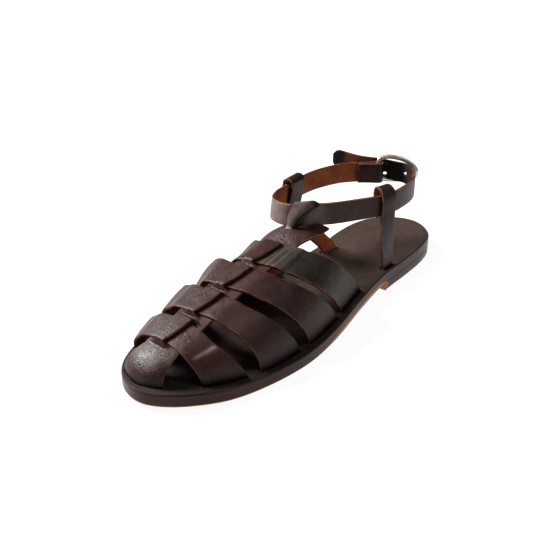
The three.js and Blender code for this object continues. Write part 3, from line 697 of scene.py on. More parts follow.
def spineStrip():
    a, b, slit = spine["outerFront"], spine["innerFront"], spine["slit"]
    outerEnd, innerEnd, sideSteps = spine["lateral"], spine["medial"], spine["sideSteps"]
    ds = np.concatenate([
        [outerEnd, outerEnd - 0.7], np.linspace(10, a + slit + 0.5, sideSteps), [a + slit, a],
        np.linspace(a - 0.4, b + 0.4, spine["bandSteps"]), [b, b - slit],
        np.linspace(b - slit - 0.5, -10.6, sideSteps), [innerEnd + 0.7, innerEnd]])
    vs = (outerEnd - ds) / (outerEnd - innerEnd)
    toe = spine["toeShare"]
    us = np.concatenate([np.linspace(0, toe, spine["toeSteps"])[:-1], np.linspace(toe, 1, spine["steps"])])
    u, v = np.meshgrid(us, vs, indexing="ij")
    s = spineStation(u, v)
    d = spineOffset(v)
    sMid = (s[1:, 1:] + s[:-1, :-1] + s[1:, :-1] + s[:-1, 1:]) / 4
    dMid = (d[1:, 1:] + d[:-1, :-1]) / 2
    inSlit = (np.abs(dMid - a - slit / 2) < slit / 2) | (np.abs(dMid - b + slit / 2) < slit / 2)
    keep = np.ones(sMid.shape, bool)
    for front, back in zip(slitFronts, slitBacks):
        keep &= ~(inSlit & (sMid < front) & (sMid > back))

    def low(u, v):
        return spineLift(*spinePlace(u, v))

    def high(u, v):
        p = spinePoint(u, v)
        return low(u, v) + straps["leather"] + spine["uneven"] * wander(p[..., 0], p[..., 1], 9.0)

    def paint(u, v):
        s, d = spinePlace(u, v)
        outer, inner = slitLines(s)
        zone = sum((s < f + 0.5) & (s > b - 0.5) for f, b in zip(slitFronts, slitBacks)) > 0
        side = np.minimum(lateralEdge(s) - d, d - medialEdge(s))
        cut = np.minimum(np.abs(d - outer - slit / 2), np.abs(d - inner + slit / 2))
        edge = np.where(zone, np.minimum(side, cut), side)
        along, across = spine["neckWide"]
        neck = sum(bell(s, f, along) for f in slitFronts) * bell(d, 0, across)
        # painted shade on the spine's inner margin between the straps, where it lies dark under them
        marginShade = between(s, spine["marginShadeFrom"], spine["marginShadeTo"]) * smooth(inner - 0.6 - d, 0, 1.2)
        return {"rim": np.exp(-edge / 0.6) * (1 - marginShade) + spine["neckRub"] * neck,
                "stain": straps["stain"], "shade": np.maximum(marginShade, footShade(spinePoint(u, v), s))}
    return sheetPiece("spine", spinePoint, us, vs, low, high, (brown, slitEdgeShaded, flesh), keep, paint, 0.2)


for k in range(4):
    keepPiece(crossStrap(k), "strap_leather", "upper")
print("cross straps made")
keepPiece(spineStrip(), "strap_leather", "upper")
print("spine made")

# places at the buckle are measured from its bar: along the belt to the frame's far end, outwards, and up
buckle = {
    "bar": (-6.86, 88.22, 55.9), "along": (0.76, 0.65), "out": (-0.65, 0.76), "length": 24.0,
    "rise": 2.0, "droop": 3.2, "bow": 3.2, "wire": 1.1, "flat": 1.3, "prong": 0.8,
    "loopSteps": 120, "loopSides": 20, "prongSteps": 61, "prongSides": 16,
    "outline": [(0, 0), (0, 4.2), (1.0, 6.2), (5.0, 7.4), (11.0, 7.3), (17.5, 6.2), (22.5, 3.4), (24.0, 0)],
    "prongWay": [(1.0, -1.8), (-0.6, -2.0), (-1.9, -0.6), (-1.5, 1.3), (0.6, 2.2), (5.0, 4.6), (11.0, 4.6),
                 (18.0, 3.5), (25.2, 2.3)],
}
ankle = {"height": 12.5, "thick": 1.8, "gap": 0.3, "tailRound": 0.3, "steps": 11, "across": 12,
         "uneven": 0.08, "unevenSpan": (420, 12), "thinEdge": 0.1,
         "hole": 1.2, "holeSides": 24, "holeDepth": 2.7,
         "frontScuffAndLight": 0.36, "frontSpread": 1.6, "darkFrom": (1.7, 1.8), "darkTo": (4.5, 5.5),
         "holes": [(17.1, -1.7, -0.6), (4.7, 2.5, -2.2), (-12.0, 5.4, 2.2)]}
fold = buckle["wire"] + ankle["gap"] + ankle["thick"] / 2
ply = ankle["thick"] + ankle["gap"]
buckleAlong, buckleOut = [unitRows(np.array([*buckle[key], 0.0])) for key in ("along", "out")]


def buckleSpot(along, out, rise=0.0):
    return np.array(buckle["bar"]) + buckleAlong * along + buckleOut * out + np.array([0, 0, rise])


# name, place of the middle of the strap, and how far its top edge leans in
ankleRows = [
    ("sewn end", buckleSpot(-12.5, fold - ply, -1.3), 0), ("inner ply", buckleSpot(-6.2, -1, -0.9), 0),
    ("inside the bar", buckleSpot(0, -fold, -0.6), 0),
    ("into the fold", buckleSpot(0.75 * fold, -0.75 * fold, -0.6), 0),
    ("round the bar", buckleSpot(fold, 0, -0.6), 0),
    ("out of the fold", buckleSpot(0.75 * fold, 0.75 * fold, -0.6), 0),
    ("outside the bar", buckleSpot(0, fold, -0.6), 0), ("outer ply", buckleSpot(-6.2, fold, -0.9), 0),
    ("medial back", buckleSpot(-12.5, fold, -1.3), 0), ("medial rear side", (-25.6, 72.5, 54.3), 0),
    ("medial side", (-31, 52, 54.3), 0.3), ("medial keeper", (-29.8, 30, 54.4), 0.6),
    ("medial front", (-25.2, 8, 55.4), 0.6), ("front bend", (-17, -2.7, 56.6), 0.5),
    ("tongue", (-5.4, -5, 57.2), 0.5), ("lateral front", (4.2, 5, 56.8), 0.5),
    ("lateral front side", (9.2, 14.4, 55.6), 0.3), ("lateral side", (16.2, 28.5, 55), 0.1),
    ("lateral keeper", (25, 47, 55), 0), ("lateral back", (26.8, 63, 55.6), 0),
    ("rear bend", (23.6, 79, 55.3), 0), ("before the corner", (15.6, 91, 54.9), 0),
    ("rear corner", buckleSpot(16.8, -fold, -0.8), 0), ("in the frame", buckleSpot(8.4, 0.9, 0.2), 0),
    ("over the bar", buckleSpot(0, fold + ply, 0.8), 0), ("tail", buckleSpot(-11.8, fold + ply + 1, 2.2), 0),
    ("tail tip", buckleSpot(-27.5, 11.6, 5), 0),
]
# inner and outer edge, height of both and stand-off of both from the ankle strap, row by row
tongueRows = [(0.02, 0.25, -6.6, -6.6, 0.6, 3.0), (0.06, 0.36, -2.5, -2.5, 0.2, 4.1),
              (0.1, 0.56, 1.8, 1.8, 0.0, 4.6), (0.14, 0.86, 4.2, 5.0, -0.1, 4.2),
              (0.2, 1.12, 5.6, 7.0, -0.2, 2.7), (0.3, 1.3, 6.3, 7.5, -0.4, 0.4),
              (0.4, 1.36, 5.8, 6.0, -2.2, -2.0), (0.46, 1.34, 3.4, 3.0, -3.2, -3.2),
              (0.5, 1.3, -0.6, -1.0, -2.7, -2.7)]
# painted shadow beside the tongue: rows of it that stand on the belt, and one row's length along the belt
tongueShade = {"rows": 4, "pace": 13.9, "shift": 2.6, "half": 1.3, "fade": 0.8}
ankleNames = [row[0] for row in ankleRows]
anklePlaces = np.array([row[1] for row in ankleRows], float)
ankleEnd = len(ankleRows) - 1
ankleLean = columnCurve(np.arange(ankleEnd + 1), [row[2] for row in ankleRows])


def ankleSpot(name):
    return ankleNames.index(name) / ankleEnd


def ankleFrame(u, step=1e-4):
    u = np.asarray(u, float)
    upright = np.array([0.0, 0.0, 1.0])
    after, before = [catmull(anklePlaces, np.clip(u + way, 0, 1)) for way in (step, -step)]
    along = unitRows(after - before)
    tilt = (ankleLean(u * ankleEnd) / (ankle["height"] / 2))[..., None]
    up = upright * np.sqrt(1 - tilt ** 2) - unitRows(np.cross(along, upright)) * tilt
    return catmull(anklePlaces, u), up, unitRows(np.cross(along, up))


def anklePoint(u, v):
    middle, up, _ = ankleFrame(u)
    tip = np.clip((u - 1) * ankleEnd / ankle["tailRound"] + 1, 0, 1)
    height = ankle["height"] * np.sqrt(1 - 0.8 * tip ** 2)
    return middle + up * ((v - 0.5) * height)[..., None]


def wirePiece(name, points, radius, sides, toward, materials=(), closed=False, flat=1.0):
    # a wire along the points, its width square to the direction toward times flat
    points = np.asarray(points, float)
    n = len(points)
    way = np.roll(points, -1, 0) - np.roll(points, 1, 0) if closed else np.gradient(points, axis=0)
    tangent = unitRows(way)
    across = unitRows(toward - (tangent @ toward)[:, None] * tangent)
    side = np.cross(tangent, across)
    ring = [2 * math.pi * j / sides for j in range(sides)]
    size = np.broadcast_to(radius, (n,))
    cloud = [points[i] + size[i] * (across[i] * math.cos(t) + flat * side[i] * math.sin(t))
             for i in range(n) for t in ring]
    faces = [(i * sides + j, k * sides + j, k * sides + m, i * sides + m)
             for i, k in ringPairs(n)[:n if closed else -1] for j, m in ringPairs(sides)]
    if not closed:
        faces += [tuple(range(sides)), tuple(range((n - 1) * sides, n * sides))]
    return outwardFaces(meshObject(name, cloud, faces, None, None, materials))


def pegCutter(along, out, rise):
    deep = ankle["holeDepth"]
    ends = [buckleSpot(along, out + way, rise) for way in (-deep, deep)]
    return wirePiece("hole_cutter", ends, ankle["hole"], ankle["holeSides"], buckleAlong)


def ankleStrap():
    us = np.linspace(0, 1, ankle["steps"] * ankleEnd + 1)
    vs = edgeSteps(ankle["height"], ankle["across"])
    half = ankle["thick"] / 2

    def high(u, v):
        thin = ankle["thinEdge"] * edgeFall(v, ankle["height"], straps["thinReach"])
        along, across = ankle["unevenSpan"]
        return half + ankle["uneven"] * wander(u * along, v * across, 3.0) - thin

    def paint(u, v):
        # the flesh side is darker from the rear bend round to the buckle, lighter again past the bar, and
        # darker at the tail tip
        rearPart = smooth(u, ankleSpot("rear bend"), ankleSpot("before the corner"))
        paleTail = smooth(u, ankleSpot("over the bar") - 0.01, ankleSpot("over the bar") + 0.02)
        tip = smooth(u, ankleSpot("tail"), 1)
        place = u * ankleEnd
        # darker on the inner ply from past the end of the sewn patch round the bar
        plyDark = between(place, ankle["darkFrom"], ankle["darkTo"])
        # painted light round the front of the belt, with some scuffing
        front = np.exp(-((place - ankleSpot("tongue") * ankleEnd) / ankle["frontSpread"]) ** 4)
        # painted shadow cast by the tongue's outer edge on the belt
        rows = tongueRows[:tongueShade["rows"]]
        edge = np.interp((v - 0.5) * ankle["height"], [row[2] for row in rows], [row[1] for row in rows])
        away = ((u - ankleSpot("tongue")) * ankleEnd - edge) * tongueShade["pace"] - tongueShade["shift"]
        away = np.maximum(np.abs(away) - tongueShade["half"], 0)
        return {"rim": edgeFall(v, ankle["height"]),
                "stain": np.clip(rearPart * (1 - 0.55 * paleTail) + tip * 0.4, 0, 1),
                "shade": np.maximum(plyDark, bell(away, 0, tongueShade["fade"])),
                "scuff": ankle["frontScuffAndLight"] * front}
    strap = sheetPiece("ankle_strap_belt", anklePoint, us, vs, -half, high, strapSet, paint=paint)
    return cutAway(strap, [pegCutter(*row) for row in ankle["holes"]])


keepPiece(ankleStrap(), "strap_leather", "ankle_strap")
print("ankle strap made")

keepers = {
    "bend": 5.0, "end": 2.0, "clear": 0.25, "steps": 9, "across": 10, "stain": 0.1,
    "lateral": {"at": "lateral keeper", "x": 24.4, "s": 71.0, "way": 1, "slide": 0.02, "width": 10.0,
                "loop": 8.8, "slack": 0.9, "inside": 6.2, "lean": 2.0},
    "medial": {"at": "medial keeper", "x": -15.6, "s": 75.0, "way": -1, "slide": 0.0, "width": 12.8,
               "loop": 13.6, "slack": 0.4, "inside": 3.35, "lean": 0.0},
}
turnOut = ankle["thick"] / 2 + ankle["gap"] + keepers["clear"] + straps["leather"] / 2
tongueRoot = {"stations": (138.0, 134.0), "sinks": (0.4, 0.1), "lateral": 1.6, "medial": -1.6, "width": 6.0,
              "droop": 2.2, "droopShare": 0.35, "stain": 0.2, "edgeShade": 0.9, "scuff": 0.3}


def ankleRow(u, width, high, outward):
    step = 1e-3
    pace = np.linalg.norm(catmull(anklePlaces, u + step) - catmull(anklePlaces, u - step)) / (2 * step)

    def row(v):
        middle, up, out = ankleFrame(u + (0.5 - v) * width / pace)
        return middle + up * high + out * outward
    return row


def rowPoint(rows):
    def point(u, v):
        out = np.zeros(u.shape + (3,))
        for w in np.unique(v):
            hit = v == w
            out[hit] = catmull(np.array([row(w) for row in rows]), u[hit])
        return out
    return point


def keeperSpot(row):
    return ankleSpot(row["at"]) + row["slide"] / ankleEnd


def keeperRows(row, grow=0.0):
    half = ankle["height"] / 2
    crown = half + row["slack"]
    width = row["width"] + 2 * grow
    inside, lean = row["inside"], row["lean"]

    def foot(high):
        def place(v):
            y = stationY(row["s"]) + row["way"] * mix(width, -width, v) / 2
            return np.array([row["x"], y, soleTop(row["s"]) + high])
        return place

    def onStrap(high, outward):
        return ankleRow(keeperSpot(row), row["loop"] + 2 * grow, high, outward)
    below = onStrap(-half - keepers["bend"], turnOut)
    # up from the slot, along the belt's outside, over its top edge and down inside
    return [foot(-straps["slotDepth"] - straps["slotGrow"] * grow), foot(1),
            lambda v: (foot(0)(v) + below(v)) / 2, below,
            onStrap(1.5 - half, turnOut), onStrap(half - 1, turnOut),
            onStrap(crown + 0.6 * turnOut, 0.8 * turnOut - lean),
            onStrap(crown + turnOut, (turnOut - inside - lean) / 2),
            onStrap(crown + 0.6 * turnOut, -0.85 * inside), onStrap(half - 1, -inside),
            onStrap(-half - keepers["end"], -turnOut)]


def rowStrip(name, rows, width, materials, paint):
    us = np.linspace(0, 1, keepers["steps"] * (len(rows) - 1) + 1)
    vs = edgeSteps(width, keepers["across"])
    half = straps["leather"] / 2
    return sheetPiece(name, rowPoint(rows), us, vs, -half, half, materials, paint=paint)


def keeperStrip(side):
    width = keepers[side]["width"]

    def paint(u, v):
        return {"rim": edgeFall(v, width), "stain": keepers["stain"]}
    return rowStrip("keeper_strap_" + side, keeperRows(keepers[side]), width, strapSet, paint)


def tongueStrip():
    start = ankleSpot("tongue")

    def onSpine(s, sink):
        def place(v):
            d = mix(tongueRoot["lateral"], tongueRoot["medial"], v)
            high = straps["leather"] / 2 - sink + spineRaise(s)
            return lastByOffset(s, d) + np.array([0, 0, high])
        return place

    def onRing(inner, outer, innerHigh, outerHigh, innerOff, outerOff):
        def place(v):
            middle, up, away = ankleFrame(start + mix(outer, inner, v) / ankleEnd)
            droop = max(0, 1 - v / tongueRoot["droopShare"]) ** 2
            droop = tongueRoot["droop"] * droop * smooth(outerHigh, 4, 7)
            return middle + up * (mix(outerHigh, innerHigh, v) - droop) + away * mix(outerOff, innerOff, v)
        return place
    rows = [onSpine(s, sink) for s, sink in zip(tongueRoot["stations"], tongueRoot["sinks"])]
    rows += [onRing(*row) for row in tongueRows]

    def paint(u, v):
        # painted shade along the tongue's outer edge, and painted light with some scuffing towards its inner
        # edge
        return {"stain": tongueRoot["stain"],
                "shade": np.exp(-v * tongueRoot["width"] / tongueRoot["edgeShade"]),
                "scuff": tongueRoot["scuff"] * smooth(v, 0.2, 0.6)}
    return rowStrip("tongue", rows, tongueRoot["width"], (brown, brown, flesh), paint)


for side in sideNames:
    keepPiece(keeperStrip(side), "strap_leather", "keeper_" + side)
keepPiece(tongueStrip(), "strap_leather", "upper")
print("keepers and tongue made")


def soleLayer(name, bottom, top, sEnd, topRound, bottomRound, materials, paint):
    turnEnd = soleAngle(sEnd)
    n = int(sole["stations"] * turnEnd / math.pi)
    across = sole["across"]
    angle = np.linspace(0, turnEnd, n + 1)
    s = sole["length"] * (1 - np.cos(angle)) / 2
    lateral, medial = outlineLateral(angle), outlineMedial(angle)
    far = n if lateral[-1] > 1 else n - 1
    rim = np.stack([np.concatenate([lateral, -medial[far:0:-1]]), np.concatenate([s, s[far:0:-1]])], -1)
    tangent = unitRows(np.roll(rim, -1, 0) - np.roll(rim, 1, 0))
    rimX, rimS = rim.T
    count = len(rim)
    low, high = bottom(rimS), top(rimS)
    arc = np.linspace(0, math.pi / 2, sole["arcSteps"])
    # inset, height from the bottom, height from the top, and the share between these two
    profile = [(bottomRound * (1 - math.sin(t)), bottomRound * (1 - math.cos(t)), 0, 0) for t in arc]
    profile += [(0, bottomRound, -topRound, w) for w in np.linspace(0, 1, sole["rows"] + 2)[1:-1]]
    profile += [(topRound * (1 - math.cos(t)), 0, -topRound * (1 - math.sin(t)), 1) for t in arc]
    points = []
    heights = []
    for inset, fromLow, fromHigh, share in profile:
        x = rimX - tangent[:, 1] * inset
        y = stationY(np.clip(rimS + tangent[:, 0] * inset, 0, sEnd))
        z = mix(low + fromLow, high + fromHigh, share)
        points += list(np.stack([x, y, z], -1))
        heights += list(z - low)
    faces = [(k * count + i, (k + 1) * count + i, (k + 1) * count + j, k * count + j)
             for k in range(len(profile) - 1) for i, j in ringPairs(count)]

    def lid(layer, flip):
        rows = []
        for i in range(n + 1):
            a, b = [layer * count + place % count for place in (i, count - i)]
            if a == b or i > far:
                rows.append([a] * (across + 1))
                continue
            rows.append([a, *range(len(points), len(points) + across - 1), b])
            start, way = points[a], points[b] - points[a]
            points.extend(start + way * j / across for j in range(1, across))
            heights.extend([heights[a]] * (across - 1))
        for one, two in zip(rows, rows[1:]):
            for j in range(across):
                face = list(dict.fromkeys((one[j], one[j + 1], two[j + 1], two[j])))
                faces.append(face[::-1] if flip else face)
    lid(0, True)
    lid(len(profile) - 1, False)
    places = np.array(points)
    layers = paint(places[:, 0], stationY(places[:, 1]), np.array(heights))
    return outwardFaces(meshObject(name, places, faces, None, layers, materials))


sideLook = {"dark": colour(36, 17, 16), "light": colour(54, 29, 27), "tan": colour(168, 114, 72),
            "cloud": 30.0, "fibre": 260.0, "fibreDepth": 0.0001, "stretch": (1.0, 1.0, 6.0)}


def soleLeather(name, look):
    b = Board(name)
    cloud = b.noise(look["cloud"], 4.0)
    fibre = b.noise(look["fibre"], 4.0, 0.6, b.place(look["stretch"]))
    base = b.blend(b.band(cloud * 0.6 + fibre * 0.4, 0.35, 0.65), look["dark"], look["light"])
    bare = b.band(b.attribute("bare") + (fibre - 0.5) * 0.5, 0.35, 0.75)
    base = b.blend(bare, base, look["tan"])
    rough = 0.34 + (fibre - 0.5) * 0.2 + bare * 0.3
    normal = b.bump(fibre, look["fibreDepth"], 0.35)
    return b.finish({"Base Color": base, "Roughness": rough, "Normal": normal, "Specular IOR Level": 0.14,
                     "Coat Weight": 0.06, "Coat Roughness": 0.2})


insoleLook = {"dark": colour(34, 25, 21), "light": colour(58, 45, 39), "worn": colour(68, 54, 49),
              "soil": colour(10, 6, 4), "cloud": 26.0, "spots": 190.0, "grain": 1100.0,
              "cloudDepth": 0.0006, "grainDepth": 0.00006, "shine": 0.22}


def insoleLeather(name, look):
    b = Board(name)
    cloud = b.noise(look["cloud"], 5.0, 0.6)
    spots = b.noise(look["spots"], 4.0, 0.6)
    base = b.blend(b.band(cloud * 0.55 + spots * 0.45, 0.36, 0.64), look["dark"], look["light"])
    base = b.blend(b.band(b.attribute("worn") + (cloud - 0.5) * 0.4, 0.3, 0.9) * 0.5, base, look["worn"])
    # dirt and painted shade under the toes and along the outer margin
    soiled = b.attribute("soiled")
    base = b.blend(soiled * 0.8, base, look["soil"])
    soft = b.bump(cloud, look["cloudDepth"], 0.3)
    rough = 0.5 + (spots - 0.5) * 0.3 + soiled * 0.3
    return b.finish({"Base Color": base, "Roughness": rough, "Specular IOR Level": look["shine"],
                     "Normal": b.bump(b.pores(look["grain"], 0.2), look["grainDepth"], 0.5, soft)})


sideLeather = soleLeather("sole_side", sideLook)
insoleTop = insoleLeather("insole_top", insoleLook)
# the slots' play, and the share of each strip that lies in its slot
slots = {"clear": 0.45, "outside": 1.2,
         "strapEnds": ((0, 0.085), (0.915, 1)), "spineEnd": 0.06, "keeperEnd": 0.11}
# where the sole is worn, dark with dirt and painted shade, or undyed, by s and x
wearAndShade = {"heel": (60, 110), "outerX": (27, 34), "outerS": (118, 150), "toes": (200, 228), "edge": 0.4,
        "line": 0.75, "waistLine": (1.9, 1.0), "waistFrom": (70, 90), "waistTo": (130, 160)}


def soleLevel(drop):
    return lambda s: soleTop(s) - drop


def insoleMarks(x, s, heights):
    # worn at the heel; dark under the toes and along the outer margin, with dirt and painted shade of the
    # straps
    outer = smooth(x, *wearAndShade["outerX"]) * smooth(s, *wearAndShade["outerS"])
    soiled = np.maximum(outer, smooth(s, *wearAndShade["toes"]))
    return {"worn": (1 - smooth(s, *wearAndShade["heel"])) * 0.8 + 0.1, "soiled": soiled}


def outsoleMarks(x, s, heights):
    # an undyed line along the foot of the side, wider at the waist
    waist = between(s, wearAndShade["waistFrom"], wearAndShade["waistTo"])
    width = wearAndShade["line"] + np.where(x > 0, *wearAndShade["waistLine"]) * waist
    line = 1 - smooth(heights - width, -wearAndShade["edge"], wearAndShade["edge"])
    return {"bare": line * smooth(s - sole["heelBreast"], -3, 1)}


def heelMarks(x, s, heights):
    breast = smooth(s - sole["heelBreast"], -6, -1)
    return {"bare": np.maximum(1 - smooth(heights, 0.4, 1.2), 0.8 * breast)}


def slotCutters():
    clear, outside, leather = slots["clear"], slots["outside"], straps["leather"]
    cutters = []

    def add(point, us, across, low, high):
        cutter = sheetPiece("slot", point, us, np.linspace(0, 1, across), low, high, (), bevel=0)
        cutters.append(outwardFaces(cutter))
    for k in range(4):
        for ends in slots["strapEnds"]:
            add(strapPoint(k, clear), np.linspace(*ends, 6), 9, -clear, leather + outside)
    toeEnd = np.linspace(0, slots["spineEnd"], 6)
    add(lambda u, v: spinePoint(u, v, clear), toeEnd, 17, -clear, leather + clear)
    half = leather / 2 + clear
    for side in sideNames:
        rows = keeperRows(keepers[side], clear)
        add(rowPoint(rows), np.linspace(0, slots["keeperEnd"], 4), 5, -half, half + outside)
    return cutters


thick, length, seam = sole["thick"], sole["length"], sole["seam"]
seamRound, floorRound = sole["seamRound"], sole["floorRound"]
insole = soleLayer("insole_board", soleLevel(sole["insole"] - seam), soleTop, length, sole["topRound"],
                   seamRound, (insoleTop, sideLeather), insoleMarks)
normals = np.zeros(len(insole.data.polygons) * 3)
insole.data.polygons.foreach_get("normal", normals)
insole.data.polygons.foreach_set("material_index", (normals.reshape(-1, 3)[:, 2] < 0.75).astype(np.int32))
keepPiece(cutAway(insole, slotCutters()), "insole_leather", "insole")
keepPiece(soleLayer("outsole_layer", soleLevel(thick), soleLevel(sole["insole"] + seam), length, seamRound,
                    floorRound, (sideLeather,), outsoleMarks), "sole_leather", "outsole")
keepPiece(soleLayer("heel_stack", lambda s: 0 * s, soleLevel(thick + 2 * seam), sole["heelBreast"], seamRound,
                    floorRound, (sideLeather,), heelMarks), "sole_leather", "heel_lift")
print("sole made")


def nickel(name):
    b = Board(name)
    cloud = b.noise(160.0, 3.0)
    scratch = b.noise(1500.0, 2.0, 0.5, b.place((1.0, 1.0, 0.15)))
    base = b.blend(b.band(cloud, 0.35, 0.65), colour(186, 178, 164), colour(214, 207, 194))
    return b.finish({"Base Color": base, "Metallic": 1.0, "Roughness": 0.28 + cloud * 0.12 + scratch * 0.06,
                     "Normal": b.bump(scratch, 0.00002, 0.4)})


nickelPlate = nickel("nickel_plate")


def frameRise(along):
    # the frame hangs down towards its far end
    return buckle["rise"] - buckle["droop"] * along / buckle["length"]


def frameLoop():
    upper = buckle["outline"]
    way = upper + [(a, -h) for a, h in upper[-2::-1]]
    plan = catmull(way, np.linspace(0, 1, buckle["loopSteps"] + 1)[:-1])
    bow = buckle["bow"] * np.sin(math.pi * np.clip(plan[:, 0] / buckle["length"], 0, 1))
    points = [buckleSpot(a, out, h + frameRise(a)) for (a, h), out in zip(plan, bow)]
    return wirePiece("buckle_loop", points, buckle["wire"], buckle["loopSides"], buckleOut, (nickelPlate,),
                     True, buckle["flat"])


def prongWire():
    t = np.linspace(0, 1, buckle["prongSteps"])
    points = catmull([buckleSpot(along, out, frameRise(along)) for along, out in buckle["prongWay"]], t)
    endFall = ((np.abs(t - 0.5) - 0.46) / 0.04).clip(0, 1) ** 2
    size = buckle["prong"] * np.sqrt(np.clip(1 - endFall, 0.06, 1))
    return wirePiece("buckle_tongue", points, size, buckle["prongSides"], buckleOut, (nickelPlate,))


keepPiece(frameLoop(), "buckle_metal", "buckle_frame")
keepPiece(prongWire(), "buckle_metal", "buckle_prong")
print("buckle made")

stitches = {"sizes": {"Stitch Length": 1.7, "Pitch": 2.1, "Thickness": 0.42}, "under": 2.6, "sewnAt": -10.6,
            "sewnSpan": (-6.5, 3.9), "points": 14, "thread": colour(40, 28, 24), "light": colour(74, 56, 48)}


def threadMaterial(name):
    b = Board(name)
    twist = b.noise(2600.0, 2.0)
    base = b.blend(b.band(twist, 0.35, 0.65), stitches["thread"], stitches["light"])
    return b.finish({"Base Color": base, "Roughness": 0.7, "Normal": b.bump(twist, 0.00008, 0.6)})


def stitchTree(material):
    tree = bpy.data.node_groups.new("stitch_rows", "GeometryNodeTree")
    tree.interface.new_socket("Geometry", in_out="INPUT", socket_type="NodeSocketGeometry")
    for key in stitches["sizes"]:
        tree.interface.new_socket(key, in_out="INPUT", socket_type="NodeSocketFloat")
    tree.interface.new_socket("Geometry", in_out="OUTPUT", socket_type="NodeSocketGeometry")
    b = Board("stitch_rows", tree)
    given = b.add("NodeGroupInput", out="Geometry")
    thick = given.beside("Thickness")
    spots = b.add("GeometryNodeCurveToPoints", {"mode": "LENGTH"},
                  {"Curve": given, "Length": given.beside("Pitch")})
    bead = b.add("GeometryNodeMeshUVSphere", {}, {"Segments": 8, "Rings": 6, "Radius": 0.5})
    size = b.add("ShaderNodeCombineXYZ", {}, {"X": thick, "Y": thick, "Z": given.beside("Stitch Length")})
    turn = b.add("FunctionNodeAlignRotationToVector", {"axis": "Z"}, {"Vector": spots.beside("Tangent")})
    rows = b.add("GeometryNodeInstanceOnPoints", {},
                 {"Points": spots, "Instance": bead, "Rotation": turn, "Scale": size})
    real = b.add("GeometryNodeRealizeInstances", {}, {"Geometry": rows})
    paint = b.add("GeometryNodeSetMaterial", {}, {"Geometry": real, "Material": material})
    b.add("NodeGroupOutput", {}, {"Geometry": paint})
    return tree


def stitchRows(name, lines):
    curve = bpy.data.curves.new(name + "_path", "CURVE")
    curve.dimensions = "3D"
    for line in lines:
        spline = curve.splines.new("POLY")
        spline.points.add(len(line) - 1)
        for point, place in zip(spline.points, np.asarray(line) + np.array([sole["sideShift"], 0, 0])):
            point.co = (*(place * mm), 1)
    path = newObject(name + "_path", curve)
    tree = stitchTree(threadMaterial("thread"))
    rows = path.modifiers.new("stitches", "NODES")
    rows.node_group = tree
    for item in tree.interface.items_tree:
        if item.name in stitches["sizes"]:
            rows[item.identifier] = stitches["sizes"][item.name] * mm
    mesh = finalMesh(path)
    bpy.data.objects.remove(path)
    smoothFaces(mesh)
    return newObject(name, mesh)


def stitchLines():
    # one row under the fold of each keeper, and one across the belt's sewn end
    lines = []
    high = -ankle["height"] / 2 - stitches["under"]
    out = turnOut + straps["leather"] / 2 + 0.02
    for side in sideNames:
        row = ankleRow(keeperSpot(keepers[side]), keepers[side]["loop"], high, out)
        lines.append([row(v) for v in np.linspace(0.1, 0.9, stitches["points"])])
    inner = fold - ply - ankle["thick"] / 2 - 0.15
    lines.append([buckleSpot(stitches["sewnAt"], inner, z)
                  for z in np.linspace(*stitches["sewnSpan"], stitches["points"])])
    return lines


keepPiece(stitchRows("stitch_threads", stitchLines()), "strap_leather")
print("stitches made")

studio = {"floor": colour(120, 120, 120), "floorGlow": 0.9, "floorSize": 6.0, "world": 0.06,
          "aim": (0, 0, 0.03), "ringSides": 48, "ringRadius": 5.5, "ringSpan": (-0.05, 5.0),
          "white": (1, 1, 1, 1),
          "lights": [
              {"name": "key", "place": (-0.85, -0.3, 0.8), "size": 0.5, "power": 44.0},
              {"name": "top", "place": (0.37, 0.08, 1.13), "size": 0.35, "power": 3.5},
              {"name": "side", "place": (0.95, 0.15, 0.75), "size": 0.5, "power": 1.2},
          ]}
view = {"azimuth": 39.872, "elevation": 26.978, "distance": 450.05, "focal": 792.74, "sensor": 36.0,
        "right": -18.887, "up": 4.740, "target": (0.5, 0.0, 20.0), "frame": 533.0, "near": 0.01}


def glowPiece(name, points, faces, base, rough, shine, glow):
    mesh = bpy.data.meshes.new(name)
    mesh.from_pydata(points, [], faces)
    mesh.materials.append(Board(name + "_white").finish({
        "Base Color": base, "Roughness": rough, "Specular IOR Level": shine,
        "Emission Color": studio["white"], "Emission Strength": glow}))
    return newObject(name, mesh)


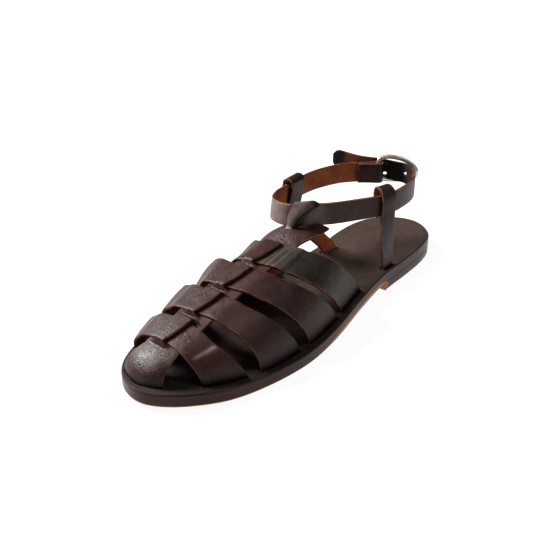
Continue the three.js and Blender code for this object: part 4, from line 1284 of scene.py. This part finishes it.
def makeFloor():
    size = studio["floorSize"]
    points = [(-size, -size, 0), (size, -size, 0), (size, size, 0), (-size, size, 0)]
    floor = glowPiece("floor", points, [(0, 1, 2, 3)], studio["floor"], 0.9, 0.1, studio["floorGlow"])


def makeBackdrop():
    # pale surround that only the camera sees, so it adds no light
    count, radius = studio["ringSides"], studio["ringRadius"]
    turns = [2 * math.pi * i / count for i in range(count)]
    points = [(radius * math.cos(t), radius * math.sin(t), z) for z in studio["ringSpan"] for t in turns]
    faces = [(i, count + i, count + j, j) for i, j in ringPairs(count)]
    faces.append(tuple(range(2 * count - 1, count - 1, -1)))
    backdrop = glowPiece("backdrop", points, faces, (0, 0, 0, 1), 1.0, 0.0, 1.0)
    backdrop.visible_diffuse = False
    backdrop.visible_glossy = False
    backdrop.visible_transmission = False
    backdrop.visible_shadow = False


def makeLights():
    world = bpy.data.worlds.new("studio")
    bpy.context.scene.world = world
    world.use_nodes = True
    ground = world.node_tree.nodes["Background"]
    ground.inputs["Color"].default_value = studio["white"]
    ground.inputs["Strength"].default_value = studio["world"]
    for row in studio["lights"]:
        light = bpy.data.lights.new(row["name"], "AREA")
        light.shape = "DISK"
        light.size = row["size"]
        light.energy = row["power"]
        lamp = newObject(row["name"], light)
        lamp.location = row["place"]
        aim = Vector(studio["aim"]) - Vector(row["place"])
        lamp.rotation_euler = aim.to_track_quat("-Z", "Y").to_euler()


def makeCamera():
    lean, spin = math.radians(90 - view["elevation"]), math.radians(view["azimuth"])
    turn = Euler((lean, 0, spin))
    eye = Vector(view["target"]) + turn.to_matrix() @ Vector((view["right"], view["up"], view["distance"]))
    data = bpy.data.cameras.new("camera")
    data.sensor_fit = "HORIZONTAL"
    data.sensor_width = view["sensor"]
    data.lens = view["sensor"] * view["focal"] / view["frame"]
    data.clip_start = view["near"]
    camera = newObject("camera", data)
    camera.matrix_world = Matrix.LocRotScale(eye * mm, turn, None)
    bpy.context.scene.camera = camera


makeFloor()
makeBackdrop()
makeLights()
makeCamera()
bpy.context.scene.view_settings.view_transform = "Standard"
print("pieces:", len(pieces), "with", sum(len(p.data.polygons) for p in pieces), "faces")
